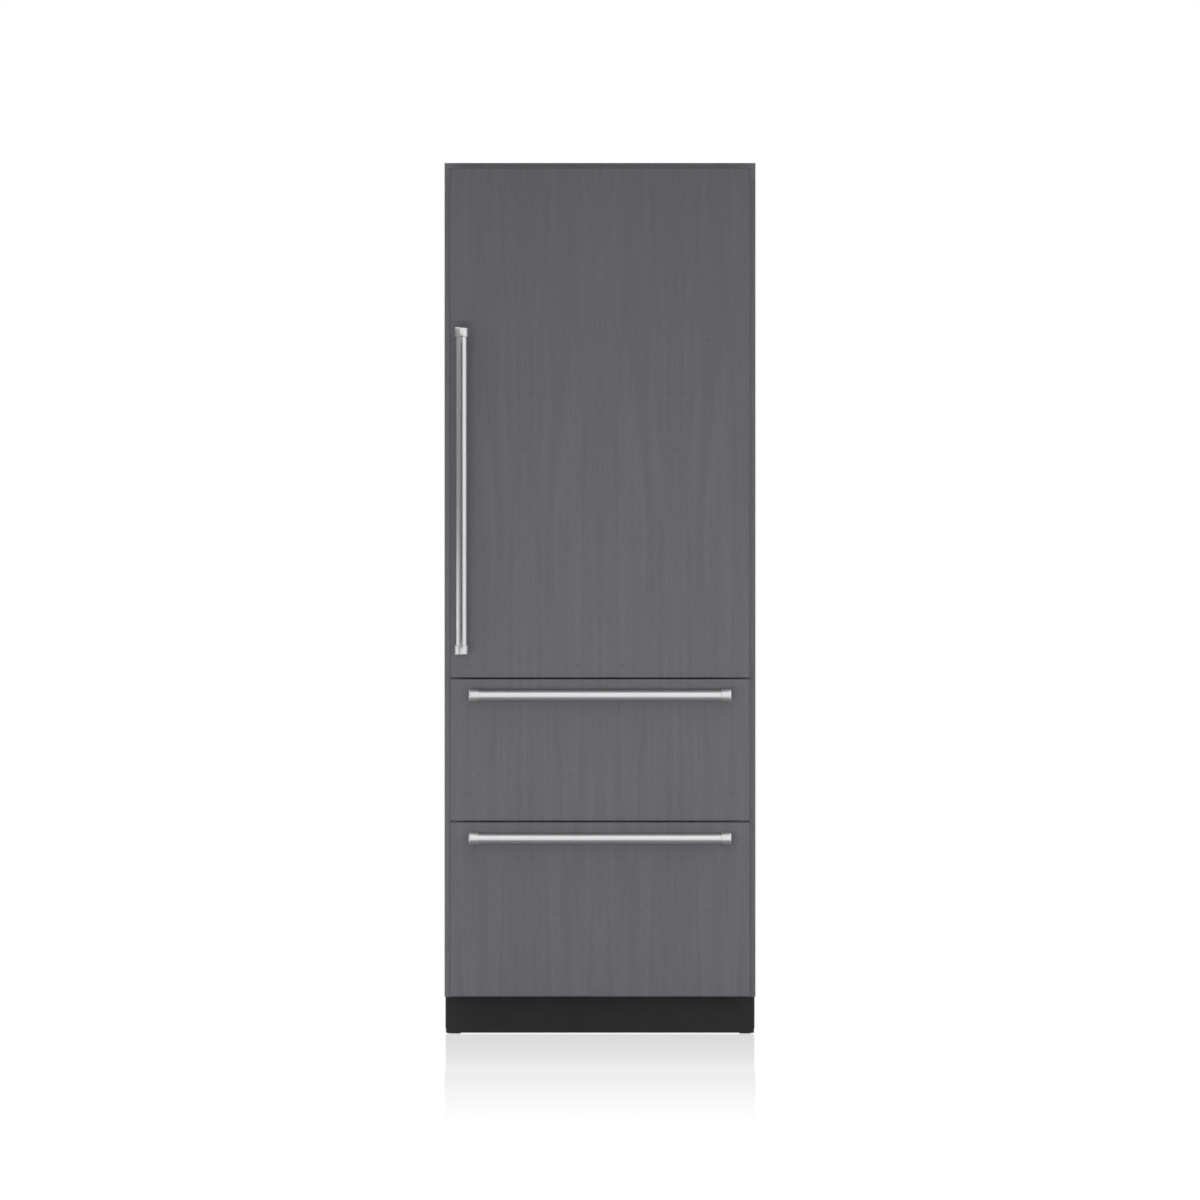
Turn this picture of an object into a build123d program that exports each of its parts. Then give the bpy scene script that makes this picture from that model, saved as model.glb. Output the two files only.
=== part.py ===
from build123d import *
import math
import os

# Built-in freezer column with one right-hinged door over two drawers, in millimetres.
# X runs left to right, Y runs from the front to the back, Z runs up from the floor.
# The origin is on the floor, at the middle of the width and of the whole depth.

# Overall size
width = 762.0
height = 2133.6
body_depth = 610.0
handle_reach = 64.0

# Fronts: a wooden panel on an insulated core, sealed to the case by a gasket
panel_thickness = 19.0
core_depth = 55.0
gasket_depth = 8.0
strip_width = 13.0
panel_gap = 3.0
front_bottom_z = 92.0
lower_panel_height = 427.0
upper_panel_height = 347.5
panel_edge_chamfer = 0.8
core_side_inset = 6.0
core_end_inset = 9.0
core_corner_radius = 12.0
gasket_side_inset = 18.0
gasket_end_inset = 12.0
gasket_width = 13.0
gasket_clearance = 0.3
opening_lap = 2.0

# Case
base_height = 90.0
case_top_drop = 3.0
sheet = 1.2
liner_wall = 2.0
rear_rib_depth = 2.8
rear_wall = 48.0
machine_depth = 183.0
machine_top_z = 290.0
hump_wall = 40.0
face_frame_thickness = 16.0
face_frame_lap = 2.5
bracket_hole_radius = 2.6
bracket_hole_clearance = 1.0
bracket_spacing = 120.0
bracket_back_gap = 50.0
bracket_pilot_depth = 14.0

# Door hinge
pivot_inset = 41.0
pivot_from_case = 54.0
hinge_plate = 4.0
hinge_gap = 1.2
hinge_pin_radius = 5.0
hinge_pin_depth = 22.0
hinge_arm_width = 22.0
hinge_leg_height = 74.0
hinge_leg_width = 18.5
hinge_leg_inset = 3.5
hinge_nose_radius = 8.5
hinge_neck_inset = 6.0
bush_wall = 3.0
bush_end_gap = 1.0
running_fit = 0.05
seat_gap = 0.3
joint_line = 0.2
cut_margin = 1.0

# Inner skin of the door
dike_clearance = 13.0
dike_end_clearance = 10.0
dike_depth = 43.0
dike_width = 24.0
dike_corner_radius = 14.0
liner_skin = 3.0
bin_ledge_width = 6.0
bin_ledge_height = 10.0
bin_ledge_setback = 4.0
bin_wall = 2.5

# Handles
bar_radius = 14.0
cap_radius = 17.0
cap_length = 24.0
cap_edge_chamfer = 1.2
post_radius = 9.0
door_handle_length = 802.0
door_handle_inset = 29.5
door_handle_rise = 55.5
drawer_handle_end_gap = 47.0
drawer_handle_drop = 41.5

# Drawer runners
runner_thickness = 12.7
runner_height = 45.0
runner_back_gap = 70.0
runner_wall = 1.5
runner_ball_gap = 0.3
runner_front_gap = 4.0
runner_lip_gap = 2.2
box_wall = 3.0
box_floor_gap = 8.0
box_top_gap = 40.0
box_back_gap = 58.0
box_corner_radius = 10.0
upper_runner_rise = 82.0
lower_runner_rise = 72.0
tray_length = 190.0
tray_height = 50.0
tray_wall = 2.5
tray_side_clearance = 0.8
ledge_width = 8.0
ledge_thickness = 4.0
tray_corner_radius = 8.0
tray_rim_drop = 4.0
tray_dip_radius = 16.0
box_step_gap = 10.0

# Shelves and what stands on them
lowest_shelf_rise = 200.0
shelf_pitch = 270.0
shelf_ice_room = 245.0
shelf_bin_gap = 22.0
shelf_back_gap = 65.0
shelf_rail = 20.0
shelf_thickness = 14.0
glass_thickness = 5.0
track_thickness = 3.0
track_width = 14.0
track_slot_pitch = 180.0
track_inset = 22.0
peg_length = 16.0
glass_clearance = 0.3
console_depth = 14.0
console_setback = 100.0
ice_bin_side_gap = 23.0
ice_bin_width = 232.0
ice_bin_end_gap = 11.0
ice_bin_height = 165.0
ice_bin_corner = 16.0
ice_maker_drop = 99.6
ice_maker_front_gap = 4.0
ice_maker_rear_gap = 21.0
ice_motor_length = 44.0
ice_mould_width = 100.0
ice_mould_height = 48.0
ice_cells = 7
ice_cell_radius = 36.0
ice_divider = 2.5
arm_side_gap = 8.0
arm_pivot_rise = 9.0
arm_reach = 12.0
arm_drop = 40.0
arm_wire_radius = 1.6
door_bin_count = 3
first_bin_rise = 56.5
top_bin_room = 429.6
door_bin_height = 112.0
door_bin_depth = 103.0

# Cooling and the machine space
evaporator_fan_rise = 426.5
evaporator_fan_radius = 52.0
evaporator_hub_radius = 14.0
condenser_fan_radius = 60.0
condenser_hub_radius = 16.0
condenser_fan_gap = 92.0
condenser_hub_gap = 6.0
tube_radius = 4.0
fin_thickness = 1.0
fan_motor_radius = 20.0
fan_motor_depth = 20.0
fan_hub_depth = 16.0
fan_shaft_radius = 2.5
fan_shaft_end = 2.0
fan_hub_gap = 1.0
cover_wall = 2.5
cover_back_gap = 57.0
cover_side_gap = 29.0
condenser_side_gap = 75.0
condenser_thickness = 22.0
condenser_end_gap = 11.5
condenser_height = 150.0
condenser_header_radius = 8.0
condenser_rise = 94.0
evaporator_rise = 201.5
evaporator_side_gap = 79.0
refrigerant_rise = 42.0
tube_sides = 8
compressor_side_gap = 147.0
compressor_radius = 82.0
compressor_height = 178.0
power_inlet_inset = 91.0
water_inlet_inset = 81.0
rear_fitting_drop = 42.0
inlet_width = 48.0
inlet_height = 28.0
water_fitting_radius = 6.0
water_hole_radius = 10.0

# Base, rollers and feet
rail_wall = 2.0
rail_width = 42.0
rail_side_inset = 2.0
rail_bottom_z = 12.0
floor_pan_z = 24.0
roller_radius = 25.0
roller_width = 26.0
roller_axle_radius = 4.0
roller_back_gap = 43.0
foot_front_gap = 41.0
foot_pad_radius = 17.0
foot_pad_height = 10.0
foot_stem_radius = 6.0
kick_side_inset = 3.5
kick_bottom_z = 2.0


def middle(span):
    return (span[0] + span[1]) / 2


def length_of(span):
    return span[1] - span[0]


# Places worked out from the sizes above
half_width = width / 2
back_y = (body_depth + handle_reach) / 2
panel_face_y = back_y - body_depth
panel_back_y = panel_face_y + panel_thickness
core_back_y = panel_back_y + core_depth
case_front_y = core_back_y + gasket_depth
panel_half = half_width - strip_width
core_half = panel_half - core_side_inset
gasket_half = core_half - gasket_side_inset
cavity_half = gasket_half - gasket_width - opening_lap
opening_inset = core_end_inset + gasket_end_inset + gasket_width + opening_lap
lower_front = (front_bottom_z, front_bottom_z + lower_panel_height)
upper_front = (lower_front[1] + panel_gap, lower_front[1] + panel_gap + upper_panel_height)
door_front = (upper_front[1] + panel_gap, height - strip_width)
lower_opening = (lower_front[0] + opening_inset, lower_front[1] - opening_inset)
upper_opening = (upper_front[0] + opening_inset, upper_front[1] - opening_inset)
door_opening = (door_front[0] + opening_inset, door_front[1] - opening_inset)
case_top_z = height - case_top_drop
foam_front_y = case_front_y + sheet
foam_back_y = back_y - sheet - rear_rib_depth
foam_half = half_width - sheet
bracket_y = foam_back_y - bracket_back_gap
liner_back_y = foam_back_y - rear_wall - liner_wall
machine_front_y = foam_back_y - machine_depth
hump_front_y = machine_front_y - hump_wall - liner_wall
hump_top_z = machine_top_z + hump_wall + liner_wall
rail_outer_x = half_width - rail_side_inset
rail_inner_x = rail_outer_x - rail_width
pivot_x = half_width - pivot_inset
pivot_y = case_front_y - pivot_from_case
bush_depth = hinge_pin_depth + bush_end_gap
bar_y = panel_face_y - handle_reach + cap_radius
door_handle_x = door_handle_inset - panel_half
drawer_handle_length = 2 * (panel_half - drawer_handle_end_gap)
box_half = cavity_half - runner_thickness
runner_length = liner_back_y - runner_back_gap - case_front_y - runner_front_gap
upper_runner_z = upper_opening[0] + upper_runner_rise
lower_runner_z = hump_top_z + lower_runner_rise
ice_maker_z = door_opening[1] - ice_maker_drop
shelf_front_y = core_back_y + door_bin_depth + shelf_bin_gap
shelf_depth = liner_back_y - shelf_back_gap - shelf_front_y
top_shelf_z = ice_maker_z - shelf_ice_room
shelf_count = 1 + int((top_shelf_z - door_opening[0] - lowest_shelf_rise) / shelf_pitch)
shelf_levels = [top_shelf_z - (shelf_count - 1 - i) * shelf_pitch for i in range(shelf_count)]
track_rows = (shelf_front_y + track_inset, shelf_front_y + shelf_depth - track_inset)
cover_front_y = liner_back_y - cover_back_gap
ice_bin_x = ice_bin_side_gap + ice_bin_width / 2 - cavity_half
ice_bin_y = shelf_front_y + shelf_depth / 2
ice_bin_depth = shelf_depth - 2 * ice_bin_end_gap
ice_maker_front_y = shelf_front_y + ice_maker_front_gap
ice_maker_rear_y = cover_front_y - ice_maker_rear_gap
arm_pivot_x = ice_mould_width + arm_side_gap - cavity_half
arm_pivot_z = ice_maker_z + arm_pivot_rise
door_bin_span = length_of(door_opening) - first_bin_rise - top_bin_room
door_bin_pitch = door_bin_span / (door_bin_count - 1)
door_bin_levels = [door_opening[0] + first_bin_rise + i * door_bin_pitch for i in range(door_bin_count)]
evaporator_fan_z = door_opening[0] + evaporator_fan_rise
evaporator_z = door_opening[0] + evaporator_rise
condenser_x = condenser_side_gap - rail_inner_x
condenser_y = (machine_front_y + foam_back_y) / 2
condenser_depth = machine_depth - 2 * condenser_end_gap
condenser_z = floor_pan_z + condenser_rise
condenser_fan_x = condenser_x + condenser_fan_gap
compressor_x = rail_inner_x - compressor_side_gap
power_inlet_x = power_inlet_inset - half_width
water_inlet_x = half_width - water_inlet_inset
rear_fitting_z = machine_top_z - rear_fitting_drop
roller_y = foam_back_y - roller_back_gap
foot_y = case_front_y + foot_front_gap

os.makedirs("parts", exist_ok=True)


def save(piece, label):
    """Label a finished piece and write it to its own file."""
    piece.part.label = label
    export_step(piece.part, f"parts/{label}.step")


def level_y(y):
    """Upright plane facing the front, whose extrusions start at y and run forward."""
    return Plane.XZ.offset(-y)


def block(x, y, z, mode=Mode.ADD):
    """Rectangular stretch of the part between two values along each axis."""
    with Locations(((x[0] + x[1]) / 2, (y[0] + y[1]) / 2, (z[0] + z[1]) / 2)):
        Box(x[1] - x[0], y[1] - y[0], z[1] - z[0], mode=mode)


# Insulated case

def make_case_foam():
    cavity = [
        (foam_front_y, lower_opening[0] - liner_wall),
        (hump_front_y + liner_wall, lower_opening[0] - liner_wall),
        (hump_front_y + liner_wall, hump_top_z - liner_wall),
        (liner_back_y + liner_wall, hump_top_z - liner_wall),
        (liner_back_y + liner_wall, door_opening[1] + liner_wall),
        (foam_front_y, door_opening[1] + liner_wall),
    ]
    top_z = case_top_z - sheet
    with BuildPart() as foam:
        with BuildSketch(Plane.XY.offset(base_height)):
            with Locations((0, (foam_front_y + foam_back_y) / 2)):
                Rectangle(2 * foam_half, foam_back_y - foam_front_y)
        extrude(amount=top_z - base_height)
        with BuildSketch(Plane.YZ):
            Polygon(*cavity, align=None)
        extrude(amount=cavity_half + liner_wall, both=True, mode=Mode.SUBTRACT)
        # Machine space behind the lower drawer
        block(
            (-cavity_half - liner_wall, cavity_half + liner_wall),
            (machine_front_y, foam_back_y),
            (base_height, machine_top_z),
            mode=Mode.SUBTRACT,
        )
        # Screw holes of the anti-tip bracket go on into the foam
        with BuildSketch(Plane.XY.offset(top_z)):
            with Locations((0, bracket_y)):
                with GridLocations(bracket_spacing, 0, 2, 1):
                    Circle(bracket_hole_radius + bracket_hole_clearance)
        extrude(amount=-bracket_pilot_depth, mode=Mode.SUBTRACT)
    save(foam, "case_foam")


def make_case_shell():
    with BuildPart() as shell:
        with BuildSketch(level_y(foam_back_y)):
            with Locations((0, (base_height + case_top_z) / 2)):
                Rectangle(width, case_top_z - base_height)
            with Locations((0, (base_height + case_top_z) / 2 - sheet / 2)):
                Rectangle(2 * foam_half, case_top_z - sheet - base_height, mode=Mode.SUBTRACT)
        extrude(amount=foam_back_y - case_front_y)
        with BuildSketch(Plane.XY.offset(case_top_z)):
            with Locations((0, bracket_y)):
                with GridLocations(bracket_spacing, 0, 2, 1):
                    Circle(bracket_hole_radius)
        extrude(amount=-sheet, mode=Mode.SUBTRACT)
    save(shell, "case_shell")


def make_front_bezel():
    """Steel face of the case that the three magnetic gaskets close on."""
    with BuildPart() as bezel:
        with BuildSketch(level_y(foam_front_y)):
            with Locations((0, (base_height + case_top_z - sheet) / 2)):
                Rectangle(2 * foam_half, case_top_z - sheet - base_height)
            for opening in (lower_opening, upper_opening, door_opening):
                with Locations((0, middle(opening))):
                    Rectangle(2 * cavity_half, length_of(opening), mode=Mode.SUBTRACT)
        extrude(amount=sheet)
    save(bezel, "front_bezel")


def make_partitions():
    with BuildPart() as partitions:
        for below, above in ((lower_opening, upper_opening), (upper_opening, door_opening)):
            with BuildSketch(Plane.XY.offset(below[1] + liner_wall)):
                with Locations((0, (foam_front_y + liner_back_y + liner_wall) / 2)):
                    Rectangle(
                        2 * (cavity_half + liner_wall),
                        liner_back_y + liner_wall - foam_front_y,
                    )
            extrude(amount=above[0] - below[1] - 2 * liner_wall)
    save(partitions, "partitions")


def make_freezer_liner():
    with BuildPart() as liner:
        with BuildSketch(level_y(liner_back_y + liner_wall)):
            with Locations((0, middle(door_opening))):
                Rectangle(
                    2 * (cavity_half + liner_wall), length_of(door_opening) + 2 * liner_wall
                )
        extrude(amount=liner_back_y + liner_wall - foam_front_y)
        with BuildSketch(level_y(liner_back_y)):
            with Locations((0, middle(door_opening))):
                Rectangle(2 * cavity_half, length_of(door_opening))
        extrude(amount=liner_back_y - foam_front_y, mode=Mode.SUBTRACT)
    save(liner, "freezer_liner")


def lower_liner_profile(wall):
    """Side outline of the lower drawer space, grown outwards by a wall."""
    return [
        (foam_front_y, lower_opening[0] - wall),
        (hump_front_y + wall, lower_opening[0] - wall),
        (hump_front_y + wall, hump_top_z - wall),
        (liner_back_y + wall, hump_top_z - wall),
        (liner_back_y + wall, lower_opening[1] + wall),
        (foam_front_y, lower_opening[1] + wall),
    ]


def make_drawer_liners():
    with BuildPart() as liners:
        with BuildSketch(Plane.YZ):
            Polygon(*lower_liner_profile(liner_wall), align=None)
        extrude(amount=cavity_half + liner_wall, both=True)
        with BuildSketch(Plane.YZ):
            Polygon(*lower_liner_profile(0.0), align=None)
        extrude(amount=cavity_half, both=True, mode=Mode.SUBTRACT)
        block(
            (-cavity_half - liner_wall, cavity_half + liner_wall),
            (foam_front_y, liner_back_y + liner_wall),
            (upper_opening[0] - liner_wall, upper_opening[1] + liner_wall),
        )
        block(
            (-cavity_half, cavity_half),
            (foam_front_y, liner_back_y),
            upper_opening,
            mode=Mode.SUBTRACT,
        )
    save(liners, "drawer_liners")


def make_face_frame():
    """Narrow wooden strips on the case front, seen as a border round the panels."""
    strip_inner = panel_half - face_frame_lap
    top_strip_bottom = door_front[1] - face_frame_lap
    side_strip_top = top_strip_bottom - joint_line
    with BuildPart() as face_frame:
        with BuildSketch(level_y(case_front_y)):
            for side in (-1, 1):
                with Locations(
                    (side * (strip_inner + half_width) / 2, (front_bottom_z + side_strip_top) / 2)
                ):
                    Rectangle(half_width - strip_inner, side_strip_top - front_bottom_z)
            with Locations((0, (top_strip_bottom + height) / 2)):
                Rectangle(width, height - top_strip_bottom)
        extrude(amount=face_frame_thickness)
    save(face_frame, "face_frame")


def make_back_panel():
    rib_count = 5
    rib_pitch = 130.0
    rib_base = 34.0
    rib_slope = 40
    with BuildPart() as panel:
        with BuildSketch(Plane.XY.offset(machine_top_z)):
            with Locations((0, foam_back_y + sheet / 2)):
                Rectangle(2 * foam_half, sheet)
            with Locations((0, foam_back_y + sheet + rear_rib_depth / 2)):
                with GridLocations(rib_pitch, 0, rib_count, 1):
                    Trapezoid(rib_base, rear_rib_depth, rib_slope)
        extrude(amount=case_top_z - sheet - machine_top_z)
    save(panel, "back_panel")


def make_machine_cover():
    """Sheet steel cover of the machine space, with hooded louvres."""
    bottom_z = 18.0
    edge_gap = 3.0
    rows = 6
    pitch = 28.0
    length = 190.0
    gap = 7.0
    hood_rise = 2.0
    hood_edge = 1.4
    hood_root = 0.1
    centre_x = 120.0
    centre_z = 140.0
    outer_y = foam_back_y + sheet
    hood = [
        (outer_y - hood_root, gap / 2),
        (outer_y - hood_root, gap / 2 + hood_rise),
        (back_y, hood_edge - gap / 2),
        (back_y, -gap / 2),
    ]
    with BuildPart() as cover:
        with BuildSketch(level_y(outer_y)):
            with Locations((0, (bottom_z + machine_top_z) / 2)):
                Rectangle(2 * (half_width - edge_gap), machine_top_z - bottom_z - joint_line)
            with Locations((0, centre_z)):
                with GridLocations(2 * centre_x, pitch, 2, rows):
                    Rectangle(length, gap, mode=Mode.SUBTRACT)
            with Locations((power_inlet_x, rear_fitting_z)):
                Rectangle(
                    inlet_width + 2 * seat_gap, inlet_height + 2 * seat_gap, mode=Mode.SUBTRACT
                )
            with Locations((water_inlet_x, rear_fitting_z)):
                Circle(water_hole_radius, mode=Mode.SUBTRACT)
        extrude(amount=sheet)
        for side in (-1, 1):
            with BuildSketch(Plane.YZ.offset(side * centre_x - length / 2)):
                with Locations((0, centre_z)):
                    with GridLocations(0, pitch, 1, rows):
                        Polygon(*hood, align=None)
            extrude(amount=length)
    save(cover, "machine_cover")


# Fronts of the door and the two drawers

def make_panel(label, front):
    with BuildPart() as panel:
        with BuildSketch(level_y(panel_back_y)):
            with Locations((0, middle(front))):
                Rectangle(2 * panel_half, length_of(front))
        extrude(amount=panel_thickness)
        chamfer(panel.faces().sort_by(Axis.Y)[0].edges(), panel_edge_chamfer)
    save(panel, label)


def make_core(label, front, hinged=False):
    """Insulated leaf behind a panel, rounded where its rear edges swing past the case."""
    bottom_z = front[0] + core_end_inset
    top_z = front[1] - core_end_inset
    with BuildPart() as core:
        with BuildSketch(Plane.XY.offset(bottom_z)):
            with Locations((0, (panel_back_y + core_back_y) / 2)):
                Rectangle(2 * core_half, core_depth)
        extrude(amount=top_z - bottom_z)
        rear_edges = core.edges().filter_by(Axis.Z).group_by(Axis.Y)[-1]
        fillet(rear_edges, core_corner_radius)
        if hinged:
            bore = hinge_pin_radius + running_fit + bush_wall
            for mouth, depth in ((bottom_z, bush_depth), (top_z, -bush_depth)):
                with BuildSketch(Plane.XY.offset(mouth)):
                    with Locations((pivot_x, pivot_y)):
                        Circle(bore)
                extrude(amount=depth, mode=Mode.SUBTRACT)
    save(core, label)


def make_gasket(label, front):
    """Magnetic gasket: a base bead, a narrow bellows and a wider sealing head."""
    half_length = length_of(front) / 2 - core_end_inset - gasket_end_inset
    bead_depth = 2.5
    bellows_depth = 1.7
    bellows_inset = 3.5
    head_inset = 1.0
    bead_back_y = core_back_y + bead_depth
    bellows_back_y = bead_back_y + bellows_depth
    layers = [
        (0.0, core_back_y, bead_back_y),
        (bellows_inset, bead_back_y, bellows_back_y),
        (head_inset, bellows_back_y, case_front_y - gasket_clearance),
    ]
    with BuildPart() as gasket:
        for step, start_y, end_y in layers:
            with BuildSketch(level_y(end_y)):
                with Locations((0, middle(front))):
                    Rectangle(2 * (gasket_half - step), 2 * (half_length - step))
                    Rectangle(
                        2 * (gasket_half - gasket_width + step),
                        2 * (half_length - gasket_width + step),
                        mode=Mode.SUBTRACT,
                    )
            extrude(amount=end_y - start_y)
    save(gasket, label)


def make_handle(label, plane, length):
    """Round bar between two larger end caps, each on a post from the panel."""
    standoff = panel_face_y - bar_y
    cap_middle = (length - cap_length) / 2
    bar_axis = Axis(plane.origin, plane.z_dir)
    with BuildPart(plane) as handle:
        with Locations((0, -standoff, 0)):
            Cylinder(bar_radius, length - 2 * (cap_length + joint_line))
        for end in (-1, 1):
            with Locations((0, -standoff, end * cap_middle)):
                Cylinder(cap_radius, cap_length)
        for end_face in (handle.faces().sort_by(bar_axis)[0], handle.faces().sort_by(bar_axis)[-1]):
            chamfer(end_face.edges(), cap_edge_chamfer)
        for end in (-1, 1):
            with Locations((0, -standoff / 2, end * cap_middle)):
                Cylinder(post_radius, standoff, rotation=(90, 0, 0))
    save(handle, label)


# Door and its hinge

def make_hinge_brackets():
    """Gooseneck hinge plates above and below the door, each with its leg and pin."""
    bottom_z = door_front[0] + core_end_inset
    top_z = door_front[1] - core_end_inset
    left_x = pivot_x - hinge_arm_width
    right_x = panel_half - hinge_leg_inset
    leg_y = (case_front_y - hinge_plate, case_front_y)
    heel_setback = 16.0
    neck_depth = 10.0
    with BuildPart() as brackets:
        for edge_z, side in ((bottom_z, -1), (top_z, 1)):
            near_z = edge_z + side * hinge_gap
            far_z = near_z + side * hinge_plate
            with BuildSketch(Plane.XY.offset(near_z)):
                with Locations((pivot_x, pivot_y), (left_x + hinge_nose_radius, pivot_y + heel_setback)):
                    Circle(hinge_nose_radius)
                with Locations(((left_x + pivot_x - hinge_neck_inset) / 2, case_front_y - neck_depth / 2)):
                    Rectangle(pivot_x - hinge_neck_inset - left_x, neck_depth)
                make_hull()
                with Locations(((left_x + right_x) / 2, case_front_y - hinge_plate / 2)):
                    Rectangle(right_x - left_x, hinge_plate)
            extrude(amount=far_z - near_z)
            leg_end = far_z - side * hinge_leg_height
            block(
                (right_x - hinge_leg_width, right_x),
                leg_y,
                (min(far_z, leg_end), max(far_z, leg_end)),
            )
            with BuildSketch(Plane.XY.offset(far_z)):
                with Locations((pivot_x, pivot_y)):
                    Circle(hinge_pin_radius)
            extrude(amount=edge_z - side * hinge_pin_depth - far_z)
    save(brackets, "hinge_brackets")


def make_hinge_bushes():
    """Plastic bushes pressed into the door, which turn on the hinge pins."""
    bottom_z = door_front[0] + core_end_inset
    top_z = door_front[1] - core_end_inset
    with BuildPart() as bushes:
        for edge_z, side in ((bottom_z, -1), (top_z, 1)):
            with BuildSketch(Plane.XY.offset(edge_z + side * (hinge_gap - seat_gap))):
                with Locations((pivot_x, pivot_y)):
                    Circle(hinge_pin_radius + running_fit + bush_wall)
                    Circle(hinge_pin_radius + running_fit, mode=Mode.SUBTRACT)
            extrude(amount=-side * (hinge_gap - seat_gap + bush_depth))
    save(bushes, "hinge_bushes")


def make_door_liner():
    """Formed inner skin of the door: a raised dike round a recess, with bin ledges."""
    outer_half = cavity_half - dike_clearance
    outer_length = length_of(door_opening) - 2 * dike_end_clearance
    dike_back_y = core_back_y + dike_depth
    floor_y = core_back_y + liner_skin
    inner_half = outer_half - dike_width
    with BuildPart() as liner:
        with BuildSketch(level_y(dike_back_y)):
            with Locations((0, middle(door_opening))):
                RectangleRounded(2 * outer_half, outer_length, dike_corner_radius)
        extrude(amount=dike_depth)
        with BuildSketch(level_y(dike_back_y)):
            with Locations((0, middle(door_opening))):
                Rectangle(2 * inner_half, outer_length - 2 * dike_width)
        extrude(amount=dike_back_y - floor_y, mode=Mode.SUBTRACT)
        for bin_z in door_bin_levels:
            for side in (-1, 1):
                edge_x = sorted((side * inner_half, side * (inner_half - bin_ledge_width)))
                ledge_y = (floor_y, dike_back_y - bin_ledge_setback)
                block(edge_x, ledge_y, (bin_z - bin_ledge_height, bin_z))
    save(liner, "door_liner")


def make_door_bin(number, bin_z):
    """Open bin whose outer wall leans in, resting on two ledges of the door liner."""
    half = cavity_half - dike_clearance - dike_width - seat_gap
    back_y_of_bin = core_back_y + liner_skin + seat_gap
    front_y_of_bin = core_back_y + door_bin_depth
    lean = 8.0
    low_rim = 22.0
    outer = [
        (back_y_of_bin, bin_z),
        (front_y_of_bin - lean, bin_z),
        (front_y_of_bin, bin_z + door_bin_height - low_rim),
        (back_y_of_bin, bin_z + door_bin_height),
    ]
    inner = [
        (back_y_of_bin + bin_wall, bin_z + bin_wall),
        (front_y_of_bin - lean - bin_wall, bin_z + bin_wall),
        (front_y_of_bin - bin_wall, bin_z + door_bin_height - low_rim),
        (front_y_of_bin - bin_wall, bin_z + door_bin_height + cut_margin),
        (back_y_of_bin + bin_wall, bin_z + door_bin_height + cut_margin),
    ]
    with BuildPart() as door_bin:
        with BuildSketch(Plane.YZ):
            Polygon(*outer, align=None)
        extrude(amount=half, both=True)
        with BuildSketch(Plane.YZ):
            Polygon(*inner, align=None)
        extrude(amount=half - bin_wall, both=True, mode=Mode.SUBTRACT)
    save(door_bin, f"door_bin_{number}")


# Drawers and their runners

def runner_channel(t_start, t_end, web_at_wall, height_z, lip, centre_z):
    """Channel section of one runner member, on both sides of the case."""
    span = t_end - t_start
    for side in (-1, 1):
        with Locations((side * (cavity_half - (t_start + t_end) / 2), centre_z)):
            Rectangle(span, height_z)
        shift = runner_wall / 2 if web_at_wall else -runner_wall / 2
        with Locations((side * (cavity_half - (t_start + t_end) / 2 - shift), centre_z)):
            Rectangle(span - runner_wall, height_z - 2 * lip, mode=Mode.SUBTRACT)


def runner_member(label, levels, t_start, t_end, web_at_wall, height_z):
    front_y = case_front_y + runner_front_gap
    with BuildPart() as member:
        with BuildSketch(level_y(front_y + runner_length)):
            for centre_z in levels:
                runner_channel(t_start, t_end, web_at_wall, height_z, runner_wall, centre_z)
        extrude(amount=runner_length)
    save(member, label)


def make_runners():
    """Telescopic runners in three nested channels, with hairline gaps for the balls."""
    middle_height = runner_height - 2 * (runner_wall + runner_ball_gap)
    inner_height = middle_height - 2 * (runner_wall + runner_ball_gap)
    middle_start = 2 * runner_wall
    both = (lower_runner_z, upper_runner_z)
    lip_end = runner_thickness - runner_lip_gap
    runner_member("outer_runners", both, 0.0, lip_end, True, runner_height)
    for label, level in (("lower", lower_runner_z), ("upper", upper_runner_z)):
        runner_member(f"{label}_middle_runners", [level], middle_start, lip_end, True, middle_height)
        runner_member(
            f"{label}_inner_runners",
            [level],
            2 * middle_start,
            runner_thickness,
            False,
            inner_height,
        )


def floor_edges(builder):
    """The edges at each side of a drawer box's floor."""
    return builder.faces().sort_by(Axis.Z)[0].edges().filter_by(Axis.Y)


def make_upper_box():
    floor_z = upper_opening[0] + box_floor_gap
    rim_z = upper_opening[1] - box_top_gap
    rear_y = liner_back_y - box_back_gap
    ledge_top = rim_z - tray_height - seat_gap
    with BuildPart() as hollow:
        block(
            (-box_half + box_wall, box_half - box_wall),
            (core_back_y + box_wall, rear_y - box_wall),
            (floor_z + box_wall, rim_z),
        )
        fillet(floor_edges(hollow), box_corner_radius - box_wall)
    with BuildPart() as box:
        block((-box_half, box_half), (core_back_y, rear_y), (floor_z, rim_z))
        fillet(floor_edges(box), box_corner_radius)
        add(hollow.part, mode=Mode.SUBTRACT)
        for side in (-1, 1):
            inner = side * (box_half - box_wall)
            edge_x = sorted((inner, inner - side * ledge_width))
            block(
                edge_x,
                (core_back_y + box_wall, rear_y - box_wall),
                (ledge_top - ledge_thickness, ledge_top),
            )
    save(box, "upper_drawer_box")


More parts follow.
